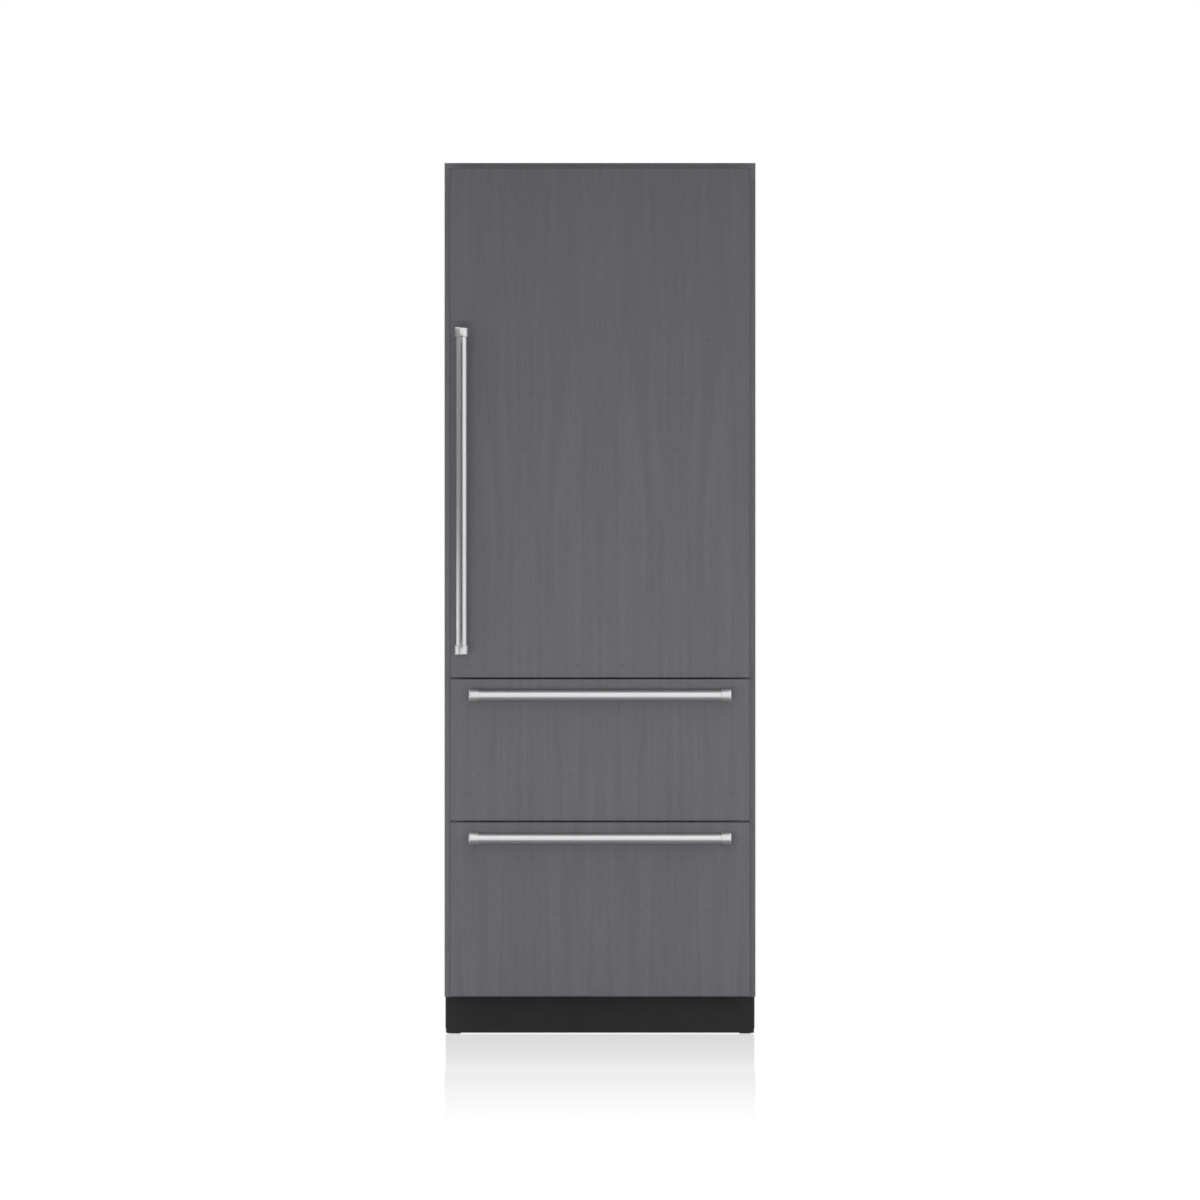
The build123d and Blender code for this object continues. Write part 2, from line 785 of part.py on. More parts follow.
def make_sliding_tray():
    """Shallow tray that slides along two ledges inside the upper drawer."""
    half = box_half - box_wall - tray_side_clearance
    bottom_z = upper_opening[1] - box_top_gap - tray_height
    start_y = core_back_y + box_wall + tray_side_clearance
    with BuildPart() as tray:
        rim_z = bottom_z + tray_height - tray_rim_drop
        block((-half, half), (start_y, start_y + tray_length), (bottom_z, rim_z))
        fillet(tray.edges().filter_by(Axis.Z), tray_corner_radius)
        top = tray.faces().sort_by(Axis.Z)[-1]
        offset(amount=-tray_wall, openings=top)
        # Finger dips in the front and rear rims
        with BuildSketch(level_y(start_y + tray_length + cut_margin)):
            with Locations((0, rim_z)):
                Circle(tray_dip_radius)
        extrude(amount=tray_length + 2 * cut_margin, mode=Mode.SUBTRACT)
    save(tray, "sliding_tray")


def make_lower_box():
    """Stepped box that clears the hump over the machine space."""
    floor_z = lower_opening[0] + box_floor_gap
    rim_z = lower_opening[1] - box_top_gap
    step_z = hump_top_z + box_floor_gap
    deep_y = hump_front_y - box_step_gap
    rear_y = liner_back_y - box_back_gap
    outer = [
        (core_back_y, floor_z),
        (deep_y, floor_z),
        (deep_y, step_z),
        (rear_y, step_z),
        (rear_y, rim_z),
        (core_back_y, rim_z),
    ]
    inner = [
        (core_back_y + box_wall, floor_z + box_wall),
        (deep_y - box_wall, floor_z + box_wall),
        (deep_y - box_wall, step_z + box_wall),
        (rear_y - box_wall, step_z + box_wall),
        (rear_y - box_wall, rim_z),
        (core_back_y + box_wall, rim_z),
    ]
    with BuildPart() as hollow:
        with BuildSketch(Plane.YZ):
            Polygon(*inner, align=None)
        extrude(amount=box_half - box_wall, both=True)
        fillet(floor_edges(hollow), box_corner_radius - box_wall)
    with BuildPart() as box:
        with BuildSketch(Plane.YZ):
            Polygon(*outer, align=None)
        extrude(amount=box_half, both=True)
        fillet(floor_edges(box), box_corner_radius)
        add(hollow.part, mode=Mode.SUBTRACT)
    save(box, "lower_drawer_box")


# Shelves, ice maker and ceiling console

def make_shelf_tracks():
    """Slotted uprights on the side walls, with a peg under each corner of a shelf."""
    foot_rise = 20.0
    head_rise = 60.0
    first_slot_rise = 19.0
    slot_width = 4.0
    slot_height = 10.0
    peg_width = 10.0
    peg_height = 5.0
    bottom_z = door_opening[0] + foot_rise
    top_z = top_shelf_z + head_rise
    slot_count = int((top_z - bottom_z - 2 * first_slot_rise) / track_slot_pitch)
    with BuildPart() as tracks:
        for side in (-1, 1):
            face_x = side * (cavity_half - track_thickness)
            for centre_y in track_rows:
                edge_x = sorted((side * cavity_half, face_x))
                slot_y = (centre_y - slot_width / 2, centre_y + slot_width / 2)
                peg_x = sorted((face_x, face_x - side * peg_length))
                peg_y = (centre_y - peg_width / 2, centre_y + peg_width / 2)
                block(edge_x, (centre_y - track_width / 2, centre_y + track_width / 2), (bottom_z, top_z))
                for slot in range(slot_count):
                    slot_z = bottom_z + first_slot_rise + slot * track_slot_pitch
                    block(edge_x, slot_y, (slot_z, slot_z + slot_height), mode=Mode.SUBTRACT)
                for level in shelf_levels:
                    block(peg_x, peg_y, (level - peg_height, level))
    save(tracks, "shelf_tracks")


def make_shelves():
    half = cavity_half - track_thickness - seat_gap
    rear_y = shelf_front_y + shelf_depth
    rabbet = shelf_rail / 2
    with BuildPart() as frames:
        for level in shelf_levels:
            block((-half, half), (shelf_front_y, rear_y), (level, level + shelf_thickness))
            block(
                (-half + rabbet, half - rabbet),
                (shelf_front_y + rabbet, rear_y - rabbet),
                (level + shelf_thickness - glass_thickness, level + shelf_thickness),
                mode=Mode.SUBTRACT,
            )
            block(
                (-half + shelf_rail, half - shelf_rail),
                (shelf_front_y + shelf_rail, rear_y - shelf_rail),
                (level, level + shelf_thickness),
                mode=Mode.SUBTRACT,
            )
    save(frames, "shelf_frames")
    edge = rabbet + glass_clearance
    with BuildPart() as panes:
        for level in shelf_levels:
            block(
                (-half + edge, half - edge),
                (shelf_front_y + edge, rear_y - edge),
                (level + shelf_thickness - glass_thickness, level + shelf_thickness),
            )
    save(panes, "shelf_glass")


def make_ice_bin():
    """Deep bin for the ice, standing on the top shelf under the ice maker."""
    floor_z = shelf_levels[-1] + shelf_thickness
    with BuildPart() as ice_bin:
        with BuildSketch(Plane.XY.offset(floor_z)):
            with Locations((ice_bin_x, ice_bin_y)):
                RectangleRounded(ice_bin_width, ice_bin_depth, ice_bin_corner)
        extrude(amount=ice_bin_height)
        top = ice_bin.faces().sort_by(Axis.Z)[-1]
        offset(amount=-bin_wall, openings=top)
    save(ice_bin, "ice_bin")


def make_ice_maker():
    """Half-round mould with dividers, a motor box at its front and two lugs for the arm."""
    low_x = -cavity_half
    high_x = low_x + ice_mould_width
    top_z = ice_maker_z + ice_mould_height
    mid_x = (low_x + high_x) / 2
    mould_front_y = ice_maker_front_y + ice_motor_length
    motor_drop = 8.0
    motor_rise = 10.0
    lug_half = 5.0
    lug_root = 1.0
    lug_x = (high_x - lug_root, arm_pivot_x + lug_half)
    lug_z = (arm_pivot_z - lug_half, arm_pivot_z + lug_half)
    front_lug_y = (mould_front_y - 18.0, mould_front_y - 4.0)
    rear_lug_y = (ice_maker_rear_y - 12.0, ice_maker_rear_y)
    with BuildPart() as maker:
        block((low_x, high_x), (mould_front_y, ice_maker_rear_y), (ice_maker_z, top_z))
        cell = (ice_maker_rear_y - mould_front_y - ice_divider) / ice_cells
        for number in range(ice_cells):
            cell_end = mould_front_y + (number + 1) * cell
            with BuildSketch(level_y(cell_end)):
                with Locations((mid_x, top_z)):
                    Circle(ice_cell_radius)
            extrude(amount=cell - ice_divider, mode=Mode.SUBTRACT)
        block(
            (low_x, high_x),
            (ice_maker_front_y, mould_front_y),
            (ice_maker_z - motor_drop, top_z + motor_rise),
        )
        block(lug_x, front_lug_y, lug_z)
        block(lug_x, rear_lug_y, lug_z)
        with BuildSketch(level_y(ice_maker_rear_y)):
            with Locations((arm_pivot_x, arm_pivot_z)):
                Circle(arm_wire_radius + running_fit)
        extrude(amount=ice_maker_rear_y - front_lug_y[0], mode=Mode.SUBTRACT)
    save(maker, "ice_maker")
    # Shut-off arm, a wire bail that rests on the ice
    bend_radius = 6.0
    bail_y = (mould_front_y + 10.0, rear_lug_y[0] - 12.0)
    bail_x = arm_pivot_x + arm_reach
    bail_z = arm_pivot_z - arm_drop
    path = [
        (arm_pivot_x, front_lug_y[0] + 2.0, arm_pivot_z),
        (arm_pivot_x, bail_y[0], arm_pivot_z),
        (bail_x, bail_y[0], bail_z),
        (bail_x, bail_y[1], bail_z),
        (arm_pivot_x, bail_y[1], arm_pivot_z),
        (arm_pivot_x, ice_maker_rear_y - 1.0, arm_pivot_z),
    ]
    with BuildPart() as arm:
        with BuildLine() as route:
            FilletPolyline(*path, radius=bend_radius)
        with BuildSketch(Plane(origin=path[0], z_dir=(0, 1, 0))):
            RegularPolygon(arm_wire_radius, 6)
        sweep(path=route.line)
    save(arm, "ice_maker_arm")


def make_ceiling_console():
    """Light lens and touch control bar under the ceiling of the freezer space."""
    ceiling_z = door_opening[1]
    length = 360.0
    depth = 96.0
    corner = 12.0
    edge = 4.0
    lens_length = 300.0
    lens_width = 14.0
    lens_setback = 24.0
    lens_recess = 2.0
    with BuildPart() as console:
        with BuildSketch(Plane.XY.offset(ceiling_z)):
            with Locations((0, case_front_y + console_setback)):
                RectangleRounded(length, depth, corner)
        extrude(amount=-console_depth)
        bottom = console.faces().sort_by(Axis.Z)[0]
        chamfer(bottom.edges(), edge)
        with BuildSketch(Plane.XY.offset(ceiling_z - console_depth)):
            with Locations((0, case_front_y + console_setback + lens_setback)):
                SlotOverall(lens_length, lens_width)
        extrude(amount=lens_recess, mode=Mode.SUBTRACT)
    save(console, "ceiling_console")


# Evaporator, condenser and fans

def make_evaporator_coil():
    """Serpentine tube through flat fins, hung on the liner's rear wall by its end plates."""
    rows = 3
    row_pitch = 72.0
    length = 2 * (cavity_half - evaporator_side_gap)
    fins = 4
    fin_depth = 36.0
    fin_overhang = 4.0
    fin_wall_gap = 6.0
    bend_land = 0.2
    fin_height = rows * row_pitch + 2 * fin_overhang
    reach = length / 2 + row_pitch / 2 + tube_radius
    centre_y = liner_back_y - fin_depth / 2 - fin_wall_gap
    with BuildPart() as coil:
        points = []
        for row in range(rows):
            row_z = evaporator_z + (row - (rows - 1) / 2) * row_pitch
            ends = (-reach, reach) if row % 2 == 0 else (reach, -reach)
            points += [(ends[0], centre_y, row_z), (ends[1], centre_y, row_z)]
        with BuildLine() as route:
            FilletPolyline(*points, radius=row_pitch / 2 - bend_land)
        with BuildSketch(Plane(origin=points[0], z_dir=(1, 0, 0))):
            RegularPolygon(tube_radius, 6)
        sweep(path=route.line)
        for fin in range(fins):
            fin_x = (fin / (fins - 1) - 0.5) * length
            rear_y = liner_back_y if fin in (0, fins - 1) else centre_y + fin_depth / 2
            block(
                (fin_x - fin_thickness / 2, fin_x + fin_thickness / 2),
                (centre_y - fin_depth / 2, rear_y),
                (evaporator_z - fin_height / 2, evaporator_z + fin_height / 2),
            )
    save(coil, "evaporator_coil")


def make_condenser_coil():
    """Flat tubes between two upright headers, with folded fins as plates across them."""
    header_radius = condenser_header_radius
    tube_count = 3
    fins = 5
    tube_thickness = 3.0
    end_land = 8.0
    fin_land = 3.0
    pan_top = floor_pan_z + rail_wall
    top_z = condenser_z + condenser_height / 2
    header_span = condenser_depth - 2 * header_radius
    with BuildPart() as coil:
        with BuildSketch(Plane.XY.offset(pan_top)):
            with Locations((condenser_x, condenser_y)):
                with GridLocations(0, header_span, 1, 2):
                    RegularPolygon(header_radius, tube_sides)
        extrude(amount=top_z - pan_top)
        low_z = condenser_z - condenser_height / 2 + end_land
        tube_pitch = (condenser_height - 2 * end_land) / (tube_count - 1)
        for tube in range(tube_count):
            tube_z = low_z + tube * tube_pitch
            block(
                (condenser_x - condenser_thickness / 2, condenser_x + condenser_thickness / 2),
                (condenser_y - header_span / 2, condenser_y + header_span / 2),
                (tube_z - tube_thickness / 2, tube_z + tube_thickness / 2),
            )
        fin_span = header_span - 2 * (header_radius + fin_land)
        for fin in range(fins):
            fin_y = condenser_y + (fin / (fins - 1) - 0.5) * fin_span
            block(
                (condenser_x - condenser_thickness / 2, condenser_x + condenser_thickness / 2),
                (fin_y - fin_thickness / 2, fin_y + fin_thickness / 2),
                (low_z, low_z + tube_pitch * (tube_count - 1)),
            )
    save(coil, "condenser_coil")


def make_fan(label, plane, radius, hub_radius):
    """Axial rotor: a hub on the motor's shaft and five pitched blades that widen outwards."""
    blades = 5
    pitch_angle = 32
    blade_thickness = 1.6
    root_sink = 1.5
    root_chord = 1.4 * hub_radius
    tip_chord = 0.7 * radius
    with BuildPart() as rotor:
        Cylinder(hub_radius, fan_hub_depth)
        for blade in range(blades):
            turn = Location((0, 0, 0), (0, 0, blade * 360.0 / blades))
            with BuildSketch(Plane(turn * Location((hub_radius - root_sink, 0, 0), (0, 90, 0)))):
                Rectangle(blade_thickness, root_chord, rotation=pitch_angle)
            with BuildSketch(Plane(turn * Location((radius, 0, 0), (0, 90, 0)))):
                Rectangle(blade_thickness, tip_chord, rotation=pitch_angle)
            loft(ruled=True)
        Hole(fan_shaft_radius + running_fit)
    with BuildPart() as placed:
        with Locations(plane):
            add(rotor.part)
    save(placed, label)


def make_evaporator_motor():
    """Motor of the evaporator fan on a bracket against the liner's rear wall."""
    wall = Plane(origin=(0, liner_back_y, evaporator_fan_z), x_dir=(1, 0, 0), z_dir=(0, -1, 0))
    bracket_height = 22.0
    bracket_thickness = 3.0
    with BuildPart() as motor:
        with BuildSketch(wall):
            Rectangle(2 * evaporator_fan_radius, bracket_height)
        extrude(amount=bracket_thickness)
        with BuildSketch(wall):
            Circle(fan_motor_radius)
        extrude(amount=fan_motor_depth)
        with BuildSketch(wall):
            Circle(fan_shaft_radius)
        extrude(amount=fan_motor_depth + fan_hub_depth + fan_shaft_end)
    save(motor, "evaporator_fan_motor")


def make_evaporator_cover():
    """Rear air duct: a formed sheet with a round fan grille and air slots."""
    bottom_z = door_opening[0] + 8.0
    top_z = door_opening[1] - 6.0
    half = cavity_half - cover_side_gap
    corner = 10.0
    grille_rows = 3
    grille_pitch = 15.0
    grille_rim = 4.0
    slot_rise = 190.0
    slot_pitch = 160.0
    slot_length = 110.0
    slot_height = 6.0
    return_rise = 24.0
    return_pitch = 100.0
    return_width = 60.0
    return_height = 18.0
    with BuildPart() as cover:
        block((-half, half), (cover_front_y, liner_back_y), (bottom_z, top_z))
        front_edges = cover.faces().sort_by(Axis.Y)[0].edges().filter_by(Axis.Z)
        fillet(front_edges, corner)
        block(
            (-half + cover_wall, half - cover_wall),
            (cover_front_y + cover_wall, liner_back_y),
            (bottom_z + cover_wall, top_z - cover_wall),
            mode=Mode.SUBTRACT,
        )
        with BuildSketch(level_y(cover_front_y + cover_wall)):
            for row in range(-grille_rows, grille_rows + 1):
                reach = math.sqrt((evaporator_fan_radius + grille_rim) ** 2 - (row * grille_pitch) ** 2)
                with Locations((0, evaporator_fan_z + row * grille_pitch)):
                    Rectangle(2 * reach - grille_rim, grille_pitch / 2)
            for level in shelf_levels:
                with Locations((0, level + slot_rise)):
                    with GridLocations(slot_pitch, 0, 3, 1):
                        Rectangle(slot_length, slot_height)
            with Locations((0, bottom_z + return_rise)):
                with GridLocations(return_pitch, 0, 4, 1):
                    Rectangle(return_width, return_height)
        extrude(amount=cover_wall, mode=Mode.SUBTRACT)
    save(cover, "evaporator_cover")


def make_condenser_fan_frame():
    """Square shroud with a round mouth; three struts carry the motor and its shaft."""
    mouth = Plane(
        origin=(condenser_fan_x, condenser_y, condenser_z), x_dir=(0, 1, 0), z_dir=(1, 0, 0)
    )
    rim = 8.0
    blade_gap = 3.0
    strut_width = 6.0
    strut_overlap = 5.0
    foot_inset = 10.0
    plate = 4.0
    side = 2 * (condenser_fan_radius + rim)
    foot_drop = condenser_z - floor_pan_z - rail_wall
    foot_top = side / 2 - cut_margin
    with BuildPart() as frame:
        with BuildSketch(mouth):
            Rectangle(side, side)
            Circle(condenser_fan_radius + blade_gap, mode=Mode.SUBTRACT)
            with PolarLocations(condenser_fan_radius / 2, 3, start_angle=90.0):
                Rectangle(condenser_fan_radius + 2 * strut_overlap, strut_width)
            with Locations((0, -(foot_top + foot_drop) / 2)):
                Rectangle(side - 2 * foot_inset, foot_drop - foot_top)
        extrude(amount=plate)
        with BuildSketch(mouth):
            Circle(fan_motor_radius)
        extrude(amount=fan_motor_depth)
        with BuildSketch(mouth):
            Circle(fan_shaft_radius)
        extrude(amount=-fan_hub_depth - 2 * fan_shaft_end)
    save(frame, "condenser_fan_frame")


def make_compressor():
    """Welded steel shell with a seam ring, mounting feet and a terminal box."""
    pan_top = floor_pan_z + rail_wall
    shell_bottom = pan_top + 14.0
    shell_top = pan_top + compressor_height
    seam_drop = 74.0
    seam_height = 6.0
    seam_step = 2.5
    foot_plate = 3.0
    foot_depth = 120.0
    foot_margin = 15.0
    pad_radius = 10.0
    pad_inset = 14.0
    r = compressor_radius
    foot_size = (2 * (r + foot_margin), foot_depth)
    centre = Plane(origin=(compressor_x, condenser_y, 0), x_dir=(1, 0, 0), z_dir=(0, -1, 0))
    shell_outline = [
        (0, shell_bottom),
        (r - 16.0, shell_bottom),
        (r, shell_bottom + 20.0),
        (r, shell_top - 50.0),
        (r - 18.0, shell_top - 18.0),
        (r - 50.0, shell_top),
        (0, shell_top),
    ]
    with BuildPart() as compressor:
        with BuildSketch(centre):
            Polygon(*shell_outline, align=None)
        revolve(axis=Axis((compressor_x, condenser_y, 0), (0, 0, 1)))
        with BuildSketch(Plane.XY.offset(shell_top - seam_drop)):
            with Locations((compressor_x, condenser_y)):
                Circle(r + seam_step)
        extrude(amount=seam_height)
        with BuildSketch(Plane.XY.offset(shell_bottom - foot_plate)):
            with Locations((compressor_x, condenser_y)):
                Rectangle(*foot_size)
        extrude(amount=foot_plate)
        with BuildSketch(Plane.XY.offset(pan_top)):
            with Locations((compressor_x, condenser_y)):
                with GridLocations(foot_size[0] - 2 * pad_inset, foot_size[1] - 2 * pad_inset, 2, 2):
                    RegularPolygon(pad_radius, tube_sides)
        extrude(amount=shell_bottom - foot_plate - pan_top)
        block(
            (compressor_x + r - 14.0, compressor_x + r + 20.0),
            (condenser_y - 26.0, condenser_y + 26.0),
            (shell_bottom + 26.0, shell_bottom + 86.0),
        )
    save(compressor, "compressor")


def make_drip_tray():
    """Open tray on top of the compressor, whose heat dries the water from defrosting."""
    bottom_z = floor_pan_z + rail_wall + compressor_height
    tray_size = (176.0, 140.0, 34.0)
    wall = 2.0
    with BuildPart() as tray:
        with Locations((compressor_x, condenser_y, bottom_z)):
            Box(*tray_size, align=(Align.CENTER, Align.CENTER, Align.MIN))
        top = tray.faces().sort_by(Axis.Z)[-1]
        offset(amount=-wall, openings=top)
    save(tray, "drip_tray")


def make_refrigerant_lines():
    """Discharge line from the compressor through the drier to the condenser."""
    line_radius = 3.2
    bend_radius = 14.0
    drier_radius = 9.5
    drier_length = 80.0
    drier_gap = 20.0
    start_x = compressor_x - compressor_radius - seat_gap
    turn_x = start_x - 29.0
    level = floor_pan_z + rail_wall + refrigerant_rise
    header_y = condenser_y - condenser_depth / 2 + condenser_header_radius
    route_points = [
        (start_x, condenser_y, level),
        (turn_x, condenser_y, level),
        (turn_x, header_y, level),
        (condenser_x + condenser_header_radius + seat_gap, header_y, level),
    ]
    with BuildPart() as lines:
        with BuildLine() as route:
            FilletPolyline(*route_points, radius=bend_radius)
        with BuildSketch(Plane(origin=route_points[0], z_dir=(-1, 0, 0))):
            RegularPolygon(line_radius, 6)
        sweep(path=route.line)
        with BuildSketch(Plane(origin=(turn_x - drier_gap, header_y, level), z_dir=(-1, 0, 0))):
            Circle(drier_radius)
        extrude(amount=drier_length)
    save(lines, "refrigerant_lines")


def make_power_inlet():
    """Mains inlet in the machine cover: a flanged housing with three flat pins."""
    depth = 30.0
    flange_y = foam_back_y + sheet
    socket_width = 26.0
    socket_height = 18.0
    centre = (power_inlet_x, rear_fitting_z)
    with BuildPart() as inlet:
        with BuildSketch(level_y(back_y - 1.0)):
            with Locations(centre):
                RectangleRounded(inlet_width + 12.0, inlet_height + 8.0, 4.0)
        extrude(amount=back_y - 1.0 - flange_y)
        with BuildSketch(level_y(flange_y)):
            with Locations(centre):
                Rectangle(inlet_width - 4.0, inlet_height)
        extrude(amount=depth)
        with BuildSketch(level_y(back_y - 1.0)):
            with Locations(centre):
                RectangleRounded(socket_width, socket_height, 3.0)
        extrude(amount=20.0, mode=Mode.SUBTRACT)
        with BuildSketch(level_y(back_y - 5.0)):
            with Locations((power_inlet_x, rear_fitting_z + 2.5)):
                Rectangle(2.0, 4.5)
            with Locations((power_inlet_x, rear_fitting_z - 2.5)):
                with GridLocations(14.0, 0, 2, 1):
                    Rectangle(2.0, 4.5)
        extrude(amount=17.5)
    save(inlet, "power_inlet")


def make_water_valve():
    """Solenoid valve of the ice maker, with its hose fitting through the cover."""
    fitting = Plane(origin=(water_inlet_x, back_y, rear_fitting_z), x_dir=(1, 0, 0), z_dir=(0, -1, 0))
    with BuildPart() as valve:
        with BuildSketch(fitting):
            Circle(water_fitting_radius)
        extrude(amount=26.0)
        block(
            (water_inlet_x - 18.0, water_inlet_x + 18.0),
            (foam_back_y - 46.0, foam_back_y - 20.0),
            (rear_fitting_z - 14.0, rear_fitting_z + 12.0),
        )
        with BuildSketch(Plane.XY.offset(rear_fitting_z + 12.0)):
            with Locations((water_inlet_x, foam_back_y - 33.0)):
                Circle(11.0)
        extrude(amount=22.0)
        # Bracket plate against the inside of the cover
        with BuildSketch(level_y(foam_back_y)):
            with Locations((water_inlet_x, rear_fitting_z)):
                Rectangle(50.0, 34.0)
                Circle(water_hole_radius, mode=Mode.SUBTRACT)
        extrude(amount=1.5)
        for side in (-1, 1):
            edge_x = sorted((water_inlet_x + side * 16.0, water_inlet_x + side * 18.0))
            arm_z = (rear_fitting_z - 10.0, rear_fitting_z + 8.0)
            block(edge_x, (foam_back_y - 22.0, foam_back_y - 1.0), arm_z)
    save(valve, "water_valve")


# Base, rollers, feet and kickplate

def make_base_frame():
    """Welded base: two inverted channels, cross members and the floor pan."""
    front_y = case_front_y + rail_wall
    rear_y = foam_back_y - 4.0
    nut_plate_z = 56.0
    nut_plate = 6.0
    nut_plate_half = 16.0
    front_member_z = 44.0
    rear_member_top_z = 60.0
    with BuildPart() as base:
        with BuildSketch(level_y(rear_y)):
            for side in (-1, 1):
                centre_x = side * (rail_inner_x + rail_outer_x) / 2
                with Locations((centre_x, (rail_bottom_z + base_height) / 2)):
                    Rectangle(rail_width, base_height - rail_bottom_z)
                with Locations((centre_x, (rail_bottom_z + base_height) / 2 - rail_wall)):
                    Rectangle(
                        rail_width - 2 * rail_wall, base_height - rail_bottom_z, mode=Mode.SUBTRACT
                    )
        extrude(amount=rear_y - front_y)
        across = (-rail_inner_x, rail_inner_x)
        block(across, (front_y, front_y + rail_wall), (front_member_z, base_height))
        block(across, (rear_y - rail_wall, rear_y), (floor_pan_z, rear_member_top_z))
        block(across, (machine_front_y, rear_y), (floor_pan_z, floor_pan_z + rail_wall))
        block(across, (machine_front_y, machine_front_y + rail_wall), (floor_pan_z, base_height))
        for side in (-1, 1):
            rail_x = side * (rail_inner_x + rail_outer_x) / 2
            with BuildSketch(Plane.YZ.offset(rail_x - rail_width / 2)):
                with Locations((roller_y, roller_radius)):
                    Circle(roller_axle_radius)
            extrude(amount=rail_width)
            block(
                (rail_x - rail_width / 2, rail_x + rail_width / 2),
                (foot_y - nut_plate_half, foot_y + nut_plate_half),
                (nut_plate_z, nut_plate_z + nut_plate),
            )
            with BuildSketch(Plane.XY.offset(nut_plate_z)):
                with Locations((rail_x, foot_y)):
                    Circle(foot_stem_radius + running_fit)
            extrude(amount=nut_plate, mode=Mode.SUBTRACT)
    save(base, "base_frame")


def make_roller(label, side):
    """Solid wheel with dished sides that turns on its axle in the base."""
    rail_x = side * (rail_inner_x + rail_outer_x) / 2
    r = roller_radius
    w = roller_width / 2
    bore = roller_axle_radius + running_fit
    dish = 4.0
    profile = [(bore, dish - w), (r, -w), (r, w), (bore, w - dish)]
    axle = Plane(origin=(rail_x, roller_y, r), x_dir=(0, 1, 0), z_dir=(0, 0, -1))
    with BuildPart() as roller:
        with BuildSketch(axle):
            Polygon(*profile, align=None)
        revolve(axis=Axis((rail_x, roller_y, r), (1, 0, 0)))
    save(roller, label)


def make_foot(label, side):
    """Levelling foot: a flared pad, a hexagon for the spanner and a threaded stem."""
    rail_x = side * (rail_inner_x + rail_outer_x) / 2
    stem_top = base_height - 6.0
    collar = 3.0
    hexagon_radius = 10.0
    hexagon_height = 8.0
    hexagon_top = foot_pad_height + hexagon_height
    with BuildPart() as foot:
        with Locations((rail_x, foot_y, 0)):
            Cone(
                foot_pad_radius,
                foot_stem_radius + collar,
                foot_pad_height,
                align=(Align.CENTER, Align.CENTER, Align.MIN),
            )
        with BuildSketch(Plane.XY.offset(foot_pad_height)):
            with Locations((rail_x, foot_y)):
                RegularPolygon(hexagon_radius, 6)
        extrude(amount=hexagon_height)
        with BuildSketch(Plane.XY.offset(hexagon_top)):
            with Locations((rail_x, foot_y)):
                Circle(foot_stem_radius)
        extrude(amount=stem_top - hexagon_top)
    save(foot, label)


def make_kickplate():
    half = half_width - kick_side_inset
    back = case_front_y + rail_wall
    flange = 14.0
    with BuildPart() as kick:
        block((-half, half), (case_front_y, back), (kick_bottom_z, base_height))
        block((-half, half), (back, back + flange), (kick_bottom_z, kick_bottom_z + rail_wall))
    save(kick, "kickplate")


make_case_foam()
make_case_shell()
make_front_bezel()
make_partitions()
make_freezer_liner()
make_drawer_liners()
make_face_frame()
make_back_panel()
make_machine_cover()

make_panel("door_panel", door_front)
make_panel("upper_drawer_panel", upper_front)
make_panel("lower_drawer_panel", lower_front)
make_core("door_core", door_front, hinged=True)
make_core("upper_drawer_core", upper_front)
make_core("lower_drawer_core", lower_front)
make_gasket("door_gasket", door_front)
make_gasket("upper_drawer_gasket", upper_front)
make_gasket("lower_drawer_gasket", lower_front)

door_handle_z = door_front[0] + door_handle_rise + door_handle_length / 2
make_handle(
    "door_handle",
    Plane(origin=(door_handle_x, panel_face_y, door_handle_z), x_dir=(1, 0, 0), z_dir=(0, 0, 1)),
    door_handle_length,
)
for label, front in (("upper_drawer_handle", upper_front), ("lower_drawer_handle", lower_front)):
    handle_z = front[1] - drawer_handle_drop
    make_handle(
        label,
        Plane(origin=(0, panel_face_y, handle_z), x_dir=(0, 0, -1), z_dir=(1, 0, 0)),
        drawer_handle_length,
    )

make_hinge_brackets()
make_hinge_bushes()
make_door_liner()
for number, bin_z in enumerate(door_bin_levels, start=1):
    make_door_bin(number, bin_z)

make_runners()
make_upper_box()
make_sliding_tray()
make_lower_box()
make_shelf_tracks()
make_shelves()
make_ice_bin()
make_ice_maker()
make_ceiling_console()

make_evaporator_coil()
make_evaporator_motor()
make_evaporator_cover()
make_fan(
    "evaporator_fan",
    Plane(
        origin=(0, liner_back_y - fan_motor_depth - fan_hub_depth / 2 - fan_hub_gap, evaporator_fan_z),
        x_dir=(1, 0, 0),
        z_dir=(0, -1, 0),
    ),
    evaporator_fan_radius,
    evaporator_hub_radius,
)
make_condenser_coil()
make_condenser_fan_frame()
make_fan(
    "condenser_fan",
    Plane(
        origin=(condenser_fan_x - fan_hub_depth / 2 - condenser_hub_gap, condenser_y, condenser_z),
        x_dir=(0, 1, 0),
        z_dir=(1, 0, 0),
    ),
    condenser_fan_radius,
    condenser_hub_radius,
)
make_compressor()
make_drip_tray()
make_refrigerant_lines()
make_power_inlet()
make_water_valve()
make_base_frame()
for name, side in (("left", -1), ("right", 1)):
    make_roller(f"{name}_roller", side)
    make_foot(f"{name}_foot", side)
make_kickplate()
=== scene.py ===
import math

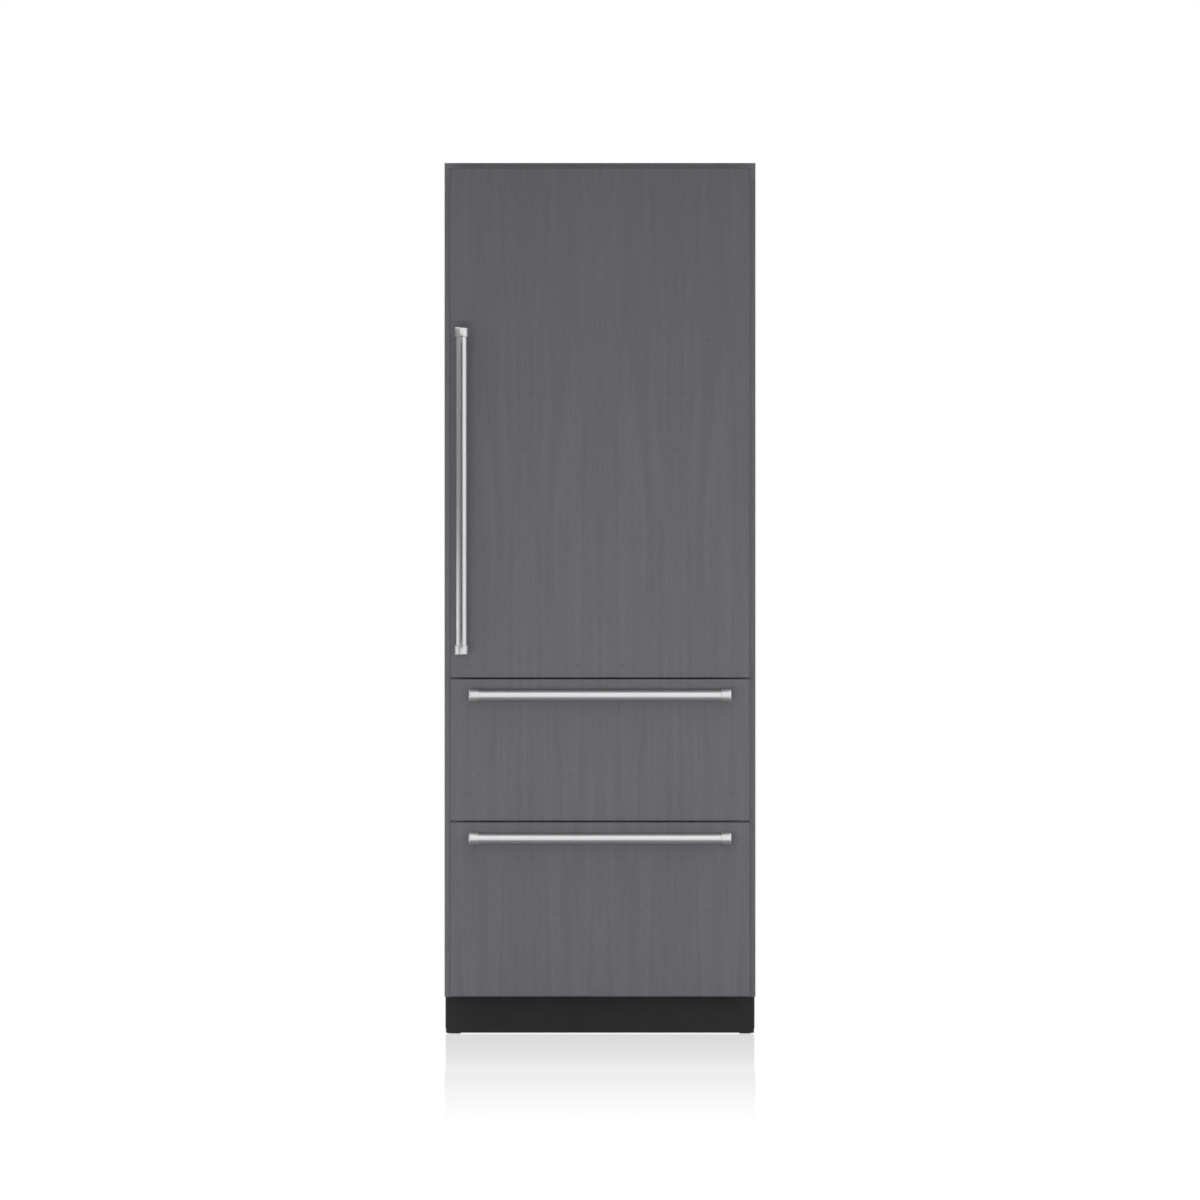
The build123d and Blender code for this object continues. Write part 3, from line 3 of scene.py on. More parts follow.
import bpy
from bpy.props import FloatProperty, FloatVectorProperty, IntProperty, PointerProperty
from bpy.types import Operator, Panel, PropertyGroup
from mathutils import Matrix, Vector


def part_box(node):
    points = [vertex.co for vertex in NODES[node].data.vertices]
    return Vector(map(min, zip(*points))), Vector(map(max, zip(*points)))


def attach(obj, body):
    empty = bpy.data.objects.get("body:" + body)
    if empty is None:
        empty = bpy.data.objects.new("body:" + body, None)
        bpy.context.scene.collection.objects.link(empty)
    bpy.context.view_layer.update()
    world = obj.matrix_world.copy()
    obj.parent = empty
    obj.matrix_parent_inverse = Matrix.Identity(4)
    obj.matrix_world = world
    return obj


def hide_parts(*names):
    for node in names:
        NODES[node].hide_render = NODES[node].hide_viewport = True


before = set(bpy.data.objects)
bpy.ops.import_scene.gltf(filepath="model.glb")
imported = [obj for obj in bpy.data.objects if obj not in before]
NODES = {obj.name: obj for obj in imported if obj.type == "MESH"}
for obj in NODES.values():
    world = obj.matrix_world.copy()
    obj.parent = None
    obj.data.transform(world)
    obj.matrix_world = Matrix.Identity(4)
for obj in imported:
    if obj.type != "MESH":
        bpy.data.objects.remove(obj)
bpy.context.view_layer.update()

bl_info = {
    "name": "Freezer Column",
    "version": (1, 0, 0),
    "blender": (4, 5, 0),
    "location": "3D View > Sidebar > Freezer",
    "description": "Dresses the freezer column's frame with finishes, handles, trims and a studio",
    "category": "Object",
}

MM = 0.001
WHITE = (1.0, 1.0, 1.0, 1.0)
FRONTS = ("door", "upper_drawer", "lower_drawer")
SIDES = (-1, 1)

# places that the frame's boxes don't give, in mm
BACK_FACE = 334.2
SHELF_LEVELS = (1200.0, 1470.0, 1740.0)
BIN_WALL = 90.0
HINGE_LEG = 4.0

# the height of the picture where the fronts stand, in metres, and the camera's sensor
PICTURE_HEIGHT = 2.939
SENSOR_MM = 36.0
EYE_HEIGHT = 1.0627
FRONT_FACE = -0.24
FLOOR_SIZE = 60.0


def box_mm(node):
    """A CAD node's lowest and highest corners at rest, in mm."""
    return [[value / MM for value in corner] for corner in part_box(node)]


def linear(hex_colour):
    """Turn an sRGB hex colour into the linear colour that a shader takes."""
    parts = [int(hex_colour[i:i + 2], 16) / 255 for i in (1, 3, 5)]
    return tuple(part / 12.92 if part <= 0.04045 else ((part + 0.055) / 1.055) ** 2.4
                 for part in parts) + (1.0,)


def join(tree, source, socket):
    """Join an output to a socket; a node stands for its first output."""
    tree.links.new(source.outputs[0] if isinstance(source, bpy.types.Node) else source, socket)


def add_node(tree, kind, settings=None, links=None):
    """Add one shader node, set its properties or inputs, and join outputs to its inputs."""
    node = tree.nodes.new("ShaderNode" + kind)
    for key, value in (settings or {}).items():
        if key == "ramp":
            steps = node.color_ramp.elements
            steps.remove(steps[1])
            for index, (place, colour) in enumerate(value):
                step = steps[0] if index == 0 else steps.new(place)
                step.position = place
                step.color = linear(colour) if isinstance(colour, str) else colour
        elif isinstance(key, int) or key in node.inputs:
            node.inputs[key].default_value = value
        else:
            setattr(node, key, value)
    for key, source in (links or {}).items():
        join(tree, source, node.inputs[key])
    return node


def shades(colour, spread):
    """A darker, the same and a lighter tone of a colour, given as hex or as a linear property."""
    base = linear(colour) if isinstance(colour, str) else tuple(colour)
    return [tuple(level * channel for channel in base[:3]) + (1.0,)
            for level in (1 - spread, 1.0, 1 + spread)]


def start_material(name, sockets):
    """Start a material whose uniform values stand on the shader's own sockets."""
    material = bpy.data.materials.new(name)
    material.use_nodes = True
    tree = material.node_tree
    shader = tree.nodes["Principled BSDF"]
    for socket, value in sockets.items():
        shader.inputs[socket].default_value = value
    return material, tree, shader


def join_shader(tree, shader, colour, roughness, bump):
    """Join a material's colour, roughness and bump to its shader."""
    join(tree, colour, shader.inputs["Base Color"])
    join(tree, roughness, shader.inputs["Roughness"])
    join(tree, bump, shader.inputs["Normal"])


def stretched_place(tree, size_mm):
    """Object coordinates divided by the pattern's size in mm along each axis."""
    place = add_node(tree, "TexCoord")
    scale = tuple(1 / (MM * size) for size in size_mm)
    return add_node(tree, "Mapping", {"Scale": scale}, {"Vector": place.outputs["Object"]})


def grained_surface(name, colour, spread, grain_mm, roughness, bump_mm, sockets):
    """A surface whose colour drifts between tones every 90 mm, while a finer grain of the
    given size roughens it and stands up by bump_mm."""
    material, tree, shader = start_material(name, sockets)
    dark, middle, light = shades(colour, spread)
    drift_place = stretched_place(tree, (90, 90, 90))
    grain_place = stretched_place(tree, grain_mm)
    drift = add_node(tree, "TexNoise", {"Scale": 1.0, "Detail": 4.0, "Roughness": 0.6},
                     {"Vector": drift_place})
    grain = add_node(tree, "TexNoise", {"Scale": 1.0, "Detail": 2.0, "Roughness": 0.5},
                     {"Vector": grain_place})
    both = add_node(tree, "Mix", {0: 0.35, "data_type": "FLOAT"}, {2: drift, 3: grain})
    tone = add_node(tree, "ValToRGB", {"ramp": [(0.38, dark), (0.5, middle), (0.62, light)]},
                    {"Fac": both})
    polish = add_node(tree, "MapRange", {1: 0.35, 2: 0.65, 3: roughness[0], 4: roughness[1]},
                      {0: both})
    bump = add_node(tree, "Bump", {"Strength": 1.0, "Distance": bump_mm * MM}, {"Height": grain})
    join_shader(tree, shader, tone, polish, bump)
    return material


def stained_veneer(name, colour, leaf_mm):
    """Crown cut oak veneer, stained grey and lacquered matt: soft streaks along the grain,
    faint arches, and short dark pores, book-matched leaf by leaf across all three fronts."""
    material, tree, shader = start_material(
        name, {"IOR": 1.5, "Coat Weight": 0.12, "Coat Roughness": 0.45})
    dark, middle, light = shades(colour, 0.085)
    place = add_node(tree, "TexCoord")
    parts = add_node(tree, "SeparateXYZ", {}, {"Vector": place.outputs["Object"]})
    leaf = add_node(tree, "Math", {"operation": "PINGPONG", 1: leaf_mm * MM},
                    {0: parts.outputs["X"]})
    # the depth counts little, so the edges of a front carry the same streaks as its face
    depth = add_node(tree, "Math", {"operation": "MULTIPLY", 1: 0.4}, {0: parts.outputs["Y"]})
    matched = add_node(tree, "CombineXYZ", {}, {"X": leaf, "Y": depth, "Z": parts.outputs["Z"]})
    # growth rings 14 mm apart, drawn out 18 times along the tree
    ring_place = add_node(tree, "Mapping",
                          {"Location": (-0.075, 0.0, -0.06), "Scale": (1.0, 1.0, 0.055)},
                          {"Vector": matched})
    rings = add_node(tree, "TexWave",
                     {"wave_type": "RINGS", "rings_direction": "SPHERICAL", "wave_profile": "SAW",
                      "Scale": 22.0, "Distortion": 2.4, "Detail": 2.0, "Detail Scale": 1.4},
                     {"Vector": ring_place})
    # streaks about 18 mm wide that waver and fade along the grain
    streak_place = add_node(tree, "Mapping", {"Scale": (55.0, 55.0, 3.2)}, {"Vector": matched})
    streaks = add_node(tree, "TexNoise",
                       {"Scale": 1.0, "Detail": 3.0, "Roughness": 0.55, "Distortion": 0.9},
                       {"Vector": streak_place})
    # fibres 3 mm wide, coarser than real ones so that they show
    fibre_place = add_node(tree, "Mapping", {"Scale": (330.0, 330.0, 22.0)}, {"Vector": matched})
    fibres = add_node(tree, "TexNoise", {"Scale": 1.0, "Detail": 2.0, "Roughness": 0.6},
                      {"Vector": fibre_place})
    # pores 3 mm wide and 20 mm long, wider than real ones so that they show
    pore_place = add_node(tree, "Mapping", {"Scale": (330.0, 330.0, 45.0)}, {"Vector": matched})
    pores = add_node(tree, "TexNoise", {"Scale": 1.0, "Detail": 1.0, "Roughness": 0.4},
                     {"Vector": pore_place})
    pore_mask = add_node(tree, "MapRange", {1: 0.58, 2: 0.70, 3: 0.0, 4: 1.0}, {0: pores})
    figure = add_node(tree, "Mix", {0: 0.2, "data_type": "FLOAT"},
                      {2: streaks, 3: rings.outputs["Fac"]})
    weave = add_node(tree, "Mix", {0: 0.25, "data_type": "FLOAT"}, {2: figure, 3: fibres})
    tone = add_node(tree, "ValToRGB", {"ramp": [(0.36, dark), (0.52, middle), (0.68, light)]},
                    {"Fac": weave})
    pore_depth = add_node(tree, "Math", {"operation": "MULTIPLY", 1: 0.15}, {0: pore_mask})
    stained = add_node(tree, "Mix",
                       {"data_type": "RGBA", "blend_type": "MULTIPLY", 7: linear("#6A696E")},
                       {0: pore_depth, 6: tone})
    polish = add_node(tree, "MapRange", {1: 0.3, 2: 0.7, 3: 0.44, 4: 0.56}, {0: fibres})
    height = add_node(tree, "Math", {"operation": "SUBTRACT"}, {0: fibres, 1: pore_mask})
    bump = add_node(tree, "Bump", {"Strength": 0.35, "Distance": 0.15 * MM}, {"Height": height})
    join_shader(tree, shader, stained.outputs[2], polish, bump)
    return material


def drawn_metal(name, colour, spread, worn_colour, line_mm, roughness, bump_mm, wear):
    """A metal whose drawing, rolling or brushing left fine lines: the tone wanders along
    them, the roughness follows each line, and handling dulls it in clouds of 45 mm."""
    material, tree, shader = start_material(name, {"Metallic": 1.0})
    dark, middle, light = shades(colour, spread)
    line_place = stretched_place(tree, line_mm)
    lines = add_node(tree, "TexNoise", {"Scale": 1.0, "Detail": 3.0, "Roughness": 0.65},
                     {"Vector": line_place})
    cloud_place = stretched_place(tree, (45, 45, 45))
    clouds = add_node(tree, "TexNoise", {"Scale": 1.0, "Detail": 5.0, "Roughness": 0.6},
                      {"Vector": cloud_place})
    handled = add_node(tree, "MapRange", {1: 0.5, 2: 0.75, 3: 0.0, 4: wear}, {0: clouds})
    tone = add_node(tree, "ValToRGB", {"ramp": [(0.3, dark), (0.5, middle), (0.7, light)]},
                    {"Fac": lines})
    worn = add_node(tree, "Mix", {"data_type": "RGBA", 7: linear(worn_colour)},
                    {0: handled, 6: tone})
    polish = add_node(tree, "MapRange", {1: 0.3, 2: 0.7, 3: roughness[0], 4: roughness[1]},
                      {0: lines})
    rougher = add_node(tree, "MapRange", {1: 0.4, 2: 0.8, 3: 0.0, 4: 0.1 * wear}, {0: clouds})
    total = add_node(tree, "Math", {"operation": "ADD"}, {0: polish, 1: rougher})
    bump = add_node(tree, "Bump", {"Strength": 1.0, "Distance": bump_mm * MM}, {"Height": lines})
    join_shader(tree, shader, worn.outputs[2], total, bump)
    return material


def satin_stainless(name, colour, line_mm):
    """Satin stainless steel, turned and then brushed fine: a bright even metal with soft
    blurred highlights and hair lines round the bar."""
    return drawn_metal(name, colour, 0.04, "#DBDBDC", line_mm, (0.32, 0.36), 0.001, 0.3)


def anodised_aluminium():
    """Anodised aluminium extrusion: pale satin metal with very fine lines along its length,
    made once for all the trims."""
    name = "anodised_aluminium_extrusion"
    return bpy.data.materials.get(name) or drawn_metal(
        name, "#C8CACC", 0.09, "#BFC1C2", (50, 1.6, 1.6), (0.26, 0.33), 0.01, 0.2)


def galvanised_sheet():
    """Hot dip galvanised steel sheet: a dull even silver, with zinc spangles 9 mm across
    that stand out only a little against each other."""
    material, tree, shader = start_material("galvanised_steel_sheet", {"Metallic": 0.85})
    place = stretched_place(tree, (9, 9, 9))
    wander = add_node(tree, "TexNoise", {"Scale": 2.2, "Detail": 2.0}, {"Vector": place})
    bent = add_node(tree, "VectorMath", {"operation": "ADD"},
                    {0: place, 1: wander.outputs["Color"]})
    spangle = add_node(tree, "TexVoronoi", {"Scale": 1.0, "Randomness": 1.0}, {"Vector": bent})
    cell = add_node(tree, "SeparateColor", {}, {0: spangle.outputs["Color"]})
    film_place = stretched_place(tree, (120, 120, 60))
    film = add_node(tree, "TexNoise", {"Scale": 1.0, "Detail": 6.0, "Roughness": 0.65},
                    {"Vector": film_place})
    both = add_node(tree, "Mix", {0: 0.45, "data_type": "FLOAT"}, {2: cell, 3: film})
    dark, middle, light = shades("#B0B4B7", 0.05)
    tone = add_node(tree, "ValToRGB", {"ramp": [(0.2, dark), (0.5, middle), (0.8, light)]},
                    {"Fac": both})
    polish = add_node(tree, "MapRange", {1: 0.0, 2: 1.0, 3: 0.42, 4: 0.48}, {0: cell.outputs[1]})
    bump = add_node(tree, "Bump", {"Strength": 0.2, "Distance": 0.01 * MM}, {"Height": cell})
    join_shader(tree, shader, tone, polish, bump)
    return material


def pass_lamplight(tree, shader, tint):
    """Let lamplight through a clear material, so that what it covers isn't left in the dark."""
    path = add_node(tree, "LightPath")
    clear = add_node(tree, "BsdfTransparent", {"Color": linear(tint)})
    either = add_node(tree, "MixShader", {},
                      {0: path.outputs["Is Shadow Ray"], 1: shader, 2: clear})
    join(tree, either, tree.nodes["Material Output"].inputs["Surface"])


def clear_styrene():
    """Clear moulded polystyrene: a glassy tray with a faint cool tint, slow moulding waves
    and a slight haze where packs rub it."""
    material, tree, shader = start_material(
        "moulded_clear_polystyrene", {"IOR": 1.59, "Transmission Weight": 0.97})
    place = stretched_place(tree, (35, 35, 35))
    waves = add_node(tree, "TexNoise", {"Scale": 1.0, "Detail": 2.0}, {"Vector": place})
    rub_place = stretched_place(tree, (6, 6, 2))
    rubs = add_node(tree, "TexNoise", {"Scale": 1.0, "Detail": 5.0, "Roughness": 0.7},
                    {"Vector": rub_place})
    tone = add_node(tree, "ValToRGB", {"ramp": [(0.35, "#F4F8FA"), (0.65, "#FAFCFD")]},
                    {"Fac": waves})
    haze = add_node(tree, "MapRange", {1: 0.45, 2: 0.8, 3: 0.03, 4: 0.12}, {0: rubs})
    bump = add_node(tree, "Bump", {"Strength": 0.3, "Distance": 0.1 * MM}, {"Height": waves})
    join_shader(tree, shader, tone, haze, bump)
    pass_lamplight(tree, shader, "#F8FBFC")
    return material


def tempered_glass():
    """Tempered float glass: clear, greenish where it is seen edge on, with faint wiped
    marks on its face."""
    material, tree, shader = start_material(
        "tempered_float_glass", {"IOR": 1.52, "Transmission Weight": 0.94})
    place = stretched_place(tree, (60, 25, 60))
    wipes = add_node(tree, "TexNoise",
                     {"Scale": 1.0, "Detail": 6.0, "Roughness": 0.7, "Distortion": 1.2},
                     {"Vector": place})
    tone = add_node(tree, "ValToRGB", {"ramp": [(0.3, "#DCEBE4"), (0.7, "#E6F2EC")]},
                    {"Fac": wipes})
    smear = add_node(tree, "MapRange", {1: 0.5, 2: 0.8, 3: 0.02, 4: 0.14}, {0: wipes})
    bump = add_node(tree, "Bump", {"Strength": 0.1, "Distance": 0.05 * MM}, {"Height": wipes})
    join_shader(tree, shader, tone, smear, bump)
    pass_lamplight(tree, shader, "#E8F3EE")
    return material


def foamed_polyurethane():
    """Rigid polyurethane foam: matt cream with open cells of 2 mm and darker skin where it
    met the steel."""
    material, tree, shader = start_material(
        "rigid_polyurethane_foam", {"IOR": 1.45, "Specular IOR Level": 0.2})
    place = stretched_place(tree, (2, 2, 2))
    cells = add_node(tree, "TexVoronoi", {"Scale": 1.0, "feature": "F1"}, {"Vector": place})
    skin_place = stretched_place(tree, (70, 70, 70))
    skin = add_node(tree, "TexNoise", {"Scale": 1.0, "Detail": 4.0}, {"Vector": skin_place})
    tone = add_node(tree, "ValToRGB", {"ramp": [(0.35, "#C9B07C"), (0.6, "#DCC898")]},
                    {"Fac": skin})
    bump = add_node(tree, "Bump", {"Strength": 0.8, "Distance": 0.6 * MM}, {"Height": cells})
    rough = add_node(tree, "MapRange", {1: 0.0, 2: 0.7, 3: 0.95, 4: 0.8}, {0: cells})
    join_shader(tree, shader, tone, rough, bump)
    return material


def dress(material, *nodes):
    """Give CAD nodes a finish through their own material slots."""
    for name in nodes:
        for slot in NODES[name].material_slots:
            slot.material = material


def activate(piece):
    """Leave this one piece selected and active, so an operator acts on it alone."""
    bpy.ops.object.select_all(action="DESELECT")
    piece.select_set(True)
    bpy.context.view_layer.objects.active = piece


def name_new(name):
    """Name the object an add operator has just made, and its mesh."""
    piece = bpy.context.active_object
    piece.name = name
    piece.data.name = name
    return piece


def settle(piece):
    """Put the place, turn and size into the mesh, so the object stands at the origin."""
    activate(piece)
    bpy.ops.object.transform_apply(location=True, rotation=True, scale=True)


def new_block(name, low, high):
    """A cube added at its place and size, given by two corners in mm."""
    bpy.ops.object.select_all(action="DESELECT")
    middle = [MM * (a + b) / 2 for a, b in zip(low, high)]
    size = [MM * (b - a) for a, b in zip(low, high)]
    bpy.ops.mesh.primitive_cube_add(size=1.0, location=middle, scale=size)
    piece = name_new(name)
    settle(piece)
    return piece


def pick_faces(piece, test):
    """Enter edit mode with only the faces that pass the test, by centre in mm and normal."""
    activate(piece)
    bpy.ops.object.mode_set(mode="EDIT")
    bpy.ops.mesh.select_mode(type="FACE")
    bpy.ops.mesh.select_all(action="DESELECT")
    bpy.ops.object.mode_set(mode="OBJECT")
    for face in piece.data.polygons:
        face.select = test(face.center / MM, face.normal)
    bpy.ops.object.mode_set(mode="EDIT")


def press(piece, test, inset_mm, move_mm):
    """Inset the faces that pass the test, and move what they enclose by move_mm."""
    pick_faces(piece, test)
    if inset_mm:
        bpy.ops.mesh.inset(thickness=inset_mm * MM)
    bpy.ops.transform.translate(value=[MM * value for value in move_mm])
    bpy.ops.object.mode_set(mode="OBJECT")


def faces_front(centre, normal):
    return normal.y < -0.9


def faces_back(centre, normal):
    return normal.y > 0.9


def faces_down(centre, normal):
    return normal.z < -0.9


def smooth(piece, degrees=40):
    """Shade a piece smooth, apart from edges sharper than this."""
    activate(piece)
    bpy.ops.object.shade_smooth_by_angle(angle=math.radians(degrees))


def soften(piece, width_mm, segments):
    """Round every edge sharper than 35 degrees with an applied Bevel modifier."""
    activate(piece)
    bevel = piece.modifiers.new("rounded edges", "BEVEL")
    bevel.width = width_mm * MM
    bevel.segments = segments
    bevel.limit_method = "ANGLE"
    bevel.angle_limit = math.radians(35)
    bpy.ops.object.modifier_apply(modifier=bevel.name)
    smooth(piece)


# how a piece turned about Z is laid so that its top looks along each axis
TURNS = {"X": (0.0, math.pi / 2, 0.0), "Y": (-math.pi / 2, 0.0, 0.0), "Z": (0.0, 0.0, 0.0),
         "front": (math.pi / 2, 0.0, 0.0), "down": (math.pi, 0.0, 0.0)}


def turned(name, outline, centre=(0.0, 0.0, 0.0), axis="Z", steps=40):
    """A piece turned on a lathe: one point is drawn out along the outline, given in mm as
    (radius, height), and spun once round its axis at the centre."""
    bpy.ops.object.select_all(action="DESELECT")
    bpy.ops.mesh.primitive_plane_add(size=MM, location=(0.0, 0.0, 0.0))
    piece = name_new(name)
    bpy.ops.object.mode_set(mode="EDIT")
    bpy.ops.mesh.select_mode(type="VERT")
    bpy.ops.mesh.select_all(action="SELECT")
    bpy.ops.mesh.merge(type="CENTER")
    bpy.ops.transform.translate(value=(outline[0][0] * MM, 0.0, outline[0][1] * MM))
    for (radius, height), (next_radius, next_height) in zip(outline, outline[1:]):
        step = ((next_radius - radius) * MM, 0.0, (next_height - height) * MM)
        bpy.ops.mesh.extrude_region_move(TRANSFORM_OT_translate={"value": step})
    bpy.ops.mesh.select_all(action="SELECT")
    bpy.ops.mesh.spin(steps=steps, angle=2 * math.pi, center=(0.0, 0.0, 0.0), axis=(0.0, 0.0, 1.0))
    bpy.ops.mesh.select_all(action="SELECT")
    bpy.ops.mesh.remove_doubles(threshold=0.002 * MM)
    bpy.ops.mesh.normals_make_consistent(inside=False)
    bpy.ops.object.mode_set(mode="OBJECT")
    piece.rotation_euler = TURNS[axis]
    piece.location = [MM * value for value in centre]
    settle(piece)
    smooth(piece)
    return piece


def copied(piece, name, move_mm):
    """A copy with its own mesh, moved by move_mm."""
    activate(piece)
    bpy.ops.object.duplicate(linked=False)
    copy = name_new(name)
    copy.location = [MM * value for value in move_mm]
    settle(copy)
    return copy


def joined(name, pieces):
    """Join pieces into one object under a new name."""
    bpy.ops.object.select_all(action="DESELECT")
    for piece in pieces:
        piece.select_set(True)
    bpy.context.view_layer.objects.active = pieces[0]
    bpy.ops.object.join()
    return name_new(name)


def repeated(piece, name, places):
    """Copies of a piece modelled at the origin, one at each place in mm, as one object."""
    copies = [copied(piece, name, place) for place in places]
    bpy.data.objects.remove(piece)
    return joined(name, copies)


def finish_piece(piece, material, body):
    """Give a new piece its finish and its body."""
    piece.data.materials.clear()
    piece.data.materials.append(material)
    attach(piece, body)


def colour_property(name, description, default):
    """A colour that a user may change, shown with a colour wheel."""
    return FloatVectorProperty(name=name, description=description, default=linear(default),
                               size=4, subtype="COLOR", min=0.0, max=1.0)


def length_property(name, description, default_mm):
    """A length that a user may change."""
    return FloatProperty(name=name, description=description, default=default_mm * MM, unit="LENGTH")


def level_property(name, description, default):
    """A brightness that a user may change, where 1 is white."""
    return FloatProperty(name=name, description=description, default=default)


class FreezerWood(PropertyGroup):
    """Stain, lipping and figure of the wooden fronts."""

    front: colour_property("Fronts", "Stain of the door and drawer fronts", "#646369")
    # the edge band is darker partly as real stain, which it drinks in more, and partly as painted
    # shade of the gaps between the fronts; it also shows as a ring on each front's face, as wide as
    # Band
    edge_band_with_painted_shade: colour_property(
        "Lipping", "Stain of the edge band, which drinks in more of it", "#504F54")
    # the strips are stained lighter than the fronts as painted light, to make up for the shade of
    # their recess behind the fronts
    strip: colour_property("Strips", "Stain of the border strips", "#7A797F")
    band: length_property("Band", "How much of the edge band shows from the front", 2)
    leaf: length_property("Veneer leaf", "Width of one book-matched leaf", 184)


class FreezerHandles(PropertyGroup):
    """Colour and sizes of the bar handles."""

    steel: colour_property("Steel", "Colour of the satin stainless steel", "#E8E8E9")
    cap_radius: length_property("Cap radius", "Radius of an end cap", 17)
    bar_radius: length_property("Bar radius", "Radius of the bar", 14)
    cap_length: length_property("Cap length", "Length of an end cap", 24)
    post_radius: length_property("Post radius", "Radius of a post", 9)
    facets: IntProperty(name="Facets", description="Steps once round a turned piece", default=48,
                        min=12)


class FreezerCase(PropertyGroup):
    """Colours of the case, inside and out."""

    paint: colour_property("Case paint", "Coil coated steel of the case", "#939497")
    kickplate: colour_property("Kickplate", "Powder coated steel of the kickplate", "#2C2C2D")
    liner: colour_property("Liner", "Vacuum formed liners and door skin", "#E6E9EB")
    gasket: colour_property("Gaskets", "Extruded magnetic gaskets", "#5C5E60")
    core: colour_property("Door pans", "Painted steel pans of the door and drawers", "#B0B2B4")


class FreezerStudio(PropertyGroup):
    """The camera, the lamps and the floor."""

    distance: FloatProperty(name="Camera distance", description="From the fronts to the camera",
                            default=60.0, unit="LENGTH")
    sky: level_property("Sky", "Level of the even light all round", 0.485)
    side_level: level_property(
        "Right softbox", "Brightness of the softbox at the front right", 0.55)
    top_level: level_property("Top softbox", "Brightness of the overhead softbox", 0.3)
    back_level: level_property("Back softbox", "Brightness of the softbox behind", 1.3)
    low_level: level_property("Low strip", "Brightness of the strip near the floor", 3.25)
    mirror: FloatProperty(name="Floor mirror", default=0.37, subtype="FACTOR",
                          description="Share of the floor that mirrors the column's foot")


class FREEZER_OT_fronts(Operator):
    """Build the three wooden fronts with their edge bands, darker partly by stain and partly as
    painted shade of the gaps, and stain the border strips lighter as painted light against the
    shade of their recess
    """

    bl_idname = "freezer.fronts"
    bl_label = "Wooden fronts"

    def execute(self, context):
        wood = context.scene.freezer_wood
        leaf = wood.leaf / MM
        veneer = stained_veneer("grey_stained_oak_veneer", wood.front, leaf)
        edge_band_with_painted_shade = stained_veneer("grey_oak_edge_band_with_painted_gap_shade", wood.edge_band_with_painted_shade, leaf)
        # a front's face and back are far larger than any face of its band, in square metres
        smallest_sheet = 0.1
        for body in FRONTS:
            front = new_block(body + "_front", *box_mm(body + "_panel"))
            # the inset leaves a ring of edge band on the front's face, darker partly by stain and
            # partly as painted shade along the gaps
            press(front, faces_front, wood.band / MM, (0.0, 0.0, 0.0))
            soften(front, 0.8, 2)
            finish_piece(front, veneer, body)
            front.data.materials.append(edge_band_with_painted_shade)
            for face in front.data.polygons:
                face.material_index = 0 if face.area > smallest_sheet else 1
            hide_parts(body + "_panel")
        # the strips' lighter stain is painted light, against the shade they stand in behind the
        # fronts
        dress(stained_veneer("grey_oak_strip_lightened_against_recess_shade", wood.strip, leaf), "face_frame")
        return {"FINISHED"}


class FREEZER_OT_handles(Operator):
    """Turn the three bar handles with their grooved end caps and flared posts"""

    bl_idname = "freezer.handles"
    bl_label = "Bar handles"

    def execute(self, context):
        sizes = context.scene.freezer_handles
        half_cap = sizes.cap_length / MM / 2
        for body in FRONTS:
            low, high = box_mm(body + "_handle")
            along = 2 if high[2] - low[2] > high[0] - low[0] else 0
            middle = [(a + b) / 2 for a, b in zip(low, high)]
            middle[1] = low[1] + sizes.cap_radius / MM
            start = middle[:]
            start[along] = low[along]
            outline = self.bar_outline(sizes, high[along] - low[along])
            parts = [turned("bar", outline, start, "XYZ"[along], sizes.facets)]
            for end in (low[along] + half_cap, high[along] - half_cap):
                foot = middle[:]
                foot[along] = end
                outline = self.post_outline(sizes, high[1] - middle[1])
                parts.append(turned("post", outline, foot, "Y", sizes.facets))
            handle = joined(body + "_bar_handle", parts)
            # the hair lines run round the bar, 1.4 mm apart, coarser than real ones to show
            lines = [30.0, 30.0, 30.0]
            lines[along] = 1.4
            steel = satin_stainless("satin_stainless_" + body, sizes.steel, lines)
            finish_piece(handle, steel, body)
            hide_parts(body + "_handle")
        return {"FINISHED"}

    def bar_outline(self, sizes, length):
        """A bar between two caps: each has a crowned end and a fine groove near its inner end."""
        cap = sizes.cap_radius / MM
        bar = sizes.bar_radius / MM
        depth = sizes.cap_length / MM
        crown = [(0.0, 0.0), (cap - 3.2, 0.0), (cap - 1.8, 0.3), (cap - 0.8, 0.95),
                 (cap - 0.2, 1.95), (cap, 3.2)]
        groove = [(cap, depth - 6.0), (cap - 0.45, depth - 5.6), (cap - 0.45, depth - 4.9),
                  (cap, depth - 4.5)]
        shoulder = [(cap, depth - 1.2), (cap - 0.16, depth - 0.6), (cap - 0.6, depth - 0.16),
                    (cap - 1.2, depth), (bar + 0.3, depth), (bar, depth + 0.3)]
        end = crown + groove + shoulder
        return end + [(radius, length - height) for radius, height in reversed(end)]

    def post_outline(self, sizes, reach):
        """A post from inside the bar to the front, flared where it stands on the wood."""
        post = sizes.post_radius / MM
        flare = [(0.35, 7.5), (1.4, 4.7), (3.1, 2.8), (3.5, 2.0), (3.5, 0.0)]
        return ([(0.0, 8.0), (post, 8.0), (post, reach - 10.5)]
                + [(post + out, reach - rise) for out, rise in flare] + [(0.0, reach)])


